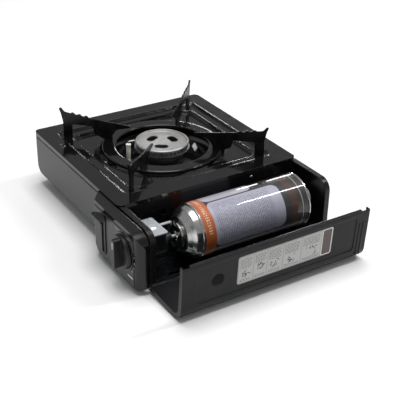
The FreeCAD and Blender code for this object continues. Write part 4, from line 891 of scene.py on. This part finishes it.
# %% Beads on the lid
FIELD_DEPTH_MM = 0.8
BEAD_RISE_MM = 0.6
BEAD_WIDTH_MM = 2.4
BEAD_SPAN_MM = (10.0, 55.0)
BEAD_FROM_END_MM = 7.5
BEAD_PITCH_MM = 5.0
lid_end_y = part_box("lid_shell")[1].y
skin_x = LABEL_MIDDLE.x + (FIELD_DEPTH_MM - LABEL_THICK_MM / 2) * MM


def lid_bead():
    """A rounded bar, half sunk in the lid's outer skin."""
    middle = Vector((skin_x, lid_end_y - BEAD_FROM_END_MM * MM, sum(BEAD_SPAN_MM) / 2 * MM))
    size = Vector((2 * BEAD_RISE_MM, BEAD_WIDTH_MM, BEAD_SPAN_MM[1] - BEAD_SPAN_MM[0])) * MM
    bead = add_block(middle, size)
    round_edges(bead, BEAD_RISE_MM * 0.9, 3, lambda d: True)
    return finished(lean(bead), "lid_bead_1", "lid", lid_coat)


def copy_towards_front(piece, name, distance_mm):
    """A copy of a bead with its own mesh, moved along the lid."""
    twin = piece.copy()
    twin.data = piece.data.copy()
    twin.data.transform(Matrix.Translation((0, -distance_mm * MM, 0)))
    bpy.context.scene.collection.objects.link(twin)
    return finished(twin, name, "lid", lid_coat)


bead = lid_bead()
copy_towards_front(bead, "lid_bead_2", BEAD_PITCH_MM)
print("beads", BEAD_FROM_END_MM, "and", BEAD_FROM_END_MM + BEAD_PITCH_MM, "mm from the lid's rear end")

# %% [markdown]
# The cartridge's spare cap is a moulded cup that is pressed onto its hollow end.
# The frame has a short plain one. A cylinder would do, but the moulded one has a draft and a soft shoulder.
# So it is drawn up ring by ring from a circle, closed with a flat end and then given its wall.

# %% White cap on the cartridge
cap_box_low, cap_box_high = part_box("can_end_cap")
CAP_WALL_MM = 1.2
CAP_RINGS_MM = ((15.0, 0.0), (14.9, 1.0), (14.5, 12.0), (14.3, 18.0), (13.8, 20.0),
                (12.7, 21.6), (11.0, 22.6), (8.5, 23.0))


def white_cap():
    """The cup, from rings of a radius and a distance from its open end."""
    start = (cap_box_low + cap_box_high) / 2
    start.y = cap_box_low.y
    clear_selection()
    bpy.ops.mesh.primitive_circle_add(vertices=48, radius=CAP_RINGS_MM[0][0] * MM,
                                      location=start, rotation=(math.pi / 2, 0, 0))
    cap = bpy.context.object
    bpy.ops.object.transform_apply(location=False, rotation=True, scale=False)
    edit(cap)
    bpy.ops.mesh.select_mode(type="EDGE")
    bpy.ops.mesh.select_all(action="SELECT")
    for (last, reached), (radius, along) in zip(CAP_RINGS_MM, CAP_RINGS_MM[1:]):
        bpy.ops.mesh.extrude_region_move(TRANSFORM_OT_translate={"value": (0, (along - reached) * MM, 0)})
        bpy.ops.transform.resize(value=(radius / last, 1, radius / last))
    bpy.ops.mesh.edge_face_add()
    bpy.ops.mesh.select_all(action="SELECT")
    bpy.ops.mesh.normals_make_consistent(inside=False)
    clear_selection()
    bpy.context.view_layer.objects.active = cap
    wall = cap.modifiers.new("wall", "SOLIDIFY")
    wall.thickness = CAP_WALL_MM * MM
    wall.offset = -1
    bpy.ops.object.modifier_apply(modifier=wall.name)
    cap = finished(cap, "cap_cup", "cartridge", white_pp)
    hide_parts("can_end_cap")
    return cap


cup = white_cap()
print("cap reaches y", round(max(v.co.y for v in cup.data.vertices) / MM, 1), "mm")

# %% [markdown]
# The studio: a plain pale floor that runs on past the picture, a surround and three soft lamps.
# A black glossy thing shows mostly what it reflects. An evenly bright room would turn it grey,
# so the surround is bright only near the horizon, and dim above it.
# One wide lamp hangs overhead. The other two are small, and their reflections draw
# the long line on the cartridge and the bright edges of the enamel.

# %% Floor and light
FLOOR_HALF = 6.0
FLOOR_COLOUR = "f4f4f3"
FLOOR_SHADE = "f1f1f0"
SKY_COLOUR = "f4f5f7"
SWEEP_GLOW = 0.9
ROOM_GLOW = 0.36
SWEEP_TOP = 0.08
ROOM_START = 0.30


def pale_floor():
    """A large matt sheet under the stove."""
    clear_selection()
    bpy.ops.mesh.primitive_plane_add(size=2 * FLOOR_HALF, location=(0, 0, 0))
    floor = bpy.context.object
    floor.name = "floor"
    finish, shader = new_finish("floor_paper_white", FLOOR_COLOUR, 0.9)
    tone = blend_colours(finish, speckle(finish, 60.0), FLOOR_COLOUR, FLOOR_SHADE)
    link(finish, tone, shader.inputs["Base Color"])
    floor.data.materials.append(finish)
    clear_selection()
    return floor


def soft_box(name, place_at, aim_at, width, height, watts):
    """A rectangular lamp at one point, in metres, that faces another and isn't seen itself."""
    lamp = bpy.data.lights.new(name, "AREA")
    lamp.shape = "RECTANGLE"
    lamp.size = width
    lamp.size_y = height
    lamp.energy = watts
    holder = bpy.data.objects.new(name, lamp)
    turn = (Vector(aim_at) - Vector(place_at)).to_track_quat("-Z", "Y")
    holder.matrix_world = Matrix.Translation(place_at) @ turn.to_matrix().to_4x4()
    holder.visible_camera = False
    bpy.context.scene.collection.objects.link(holder)
    return holder


def studio_surround():
    """Bright up to a few degrees over the horizon, like a white sweep, and dim above it."""
    world = bpy.data.worlds.new("studio")
    world.use_nodes = True
    background = world.node_tree.nodes["Background"]
    where = add_node(world, "ShaderNodeTexCoord").outputs["Generated"]
    height = add_node(world, "ShaderNodeSeparateXYZ", {0: where}).outputs["Z"]
    strength = between(world, height, SWEEP_GLOW, ROOM_GLOW, SWEEP_TOP, ROOM_START)
    background.inputs["Color"].default_value = linear(SKY_COLOUR)
    link(world, strength, background.inputs["Strength"])
    bpy.context.scene.world = world


pale_floor()
studio_surround()
soft_box("lamp_overhead", (0.0, 0.1, 2.2), (0, 0.1, 0), 1.4, 1.2, 40.0)
soft_box("lamp_strip", (0.36, 1.24, 1.65), (0.10, 0.06, 0.07), 0.12, 0.5, 9.0)
soft_box("lamp_low", (-1.50, 1.17, 0.34), (0, -0.09, 0.077), 0.40, 0.26, 6.0)
bpy.context.scene.view_settings.view_transform = "Standard"
print("lamps:", len(bpy.data.lights))
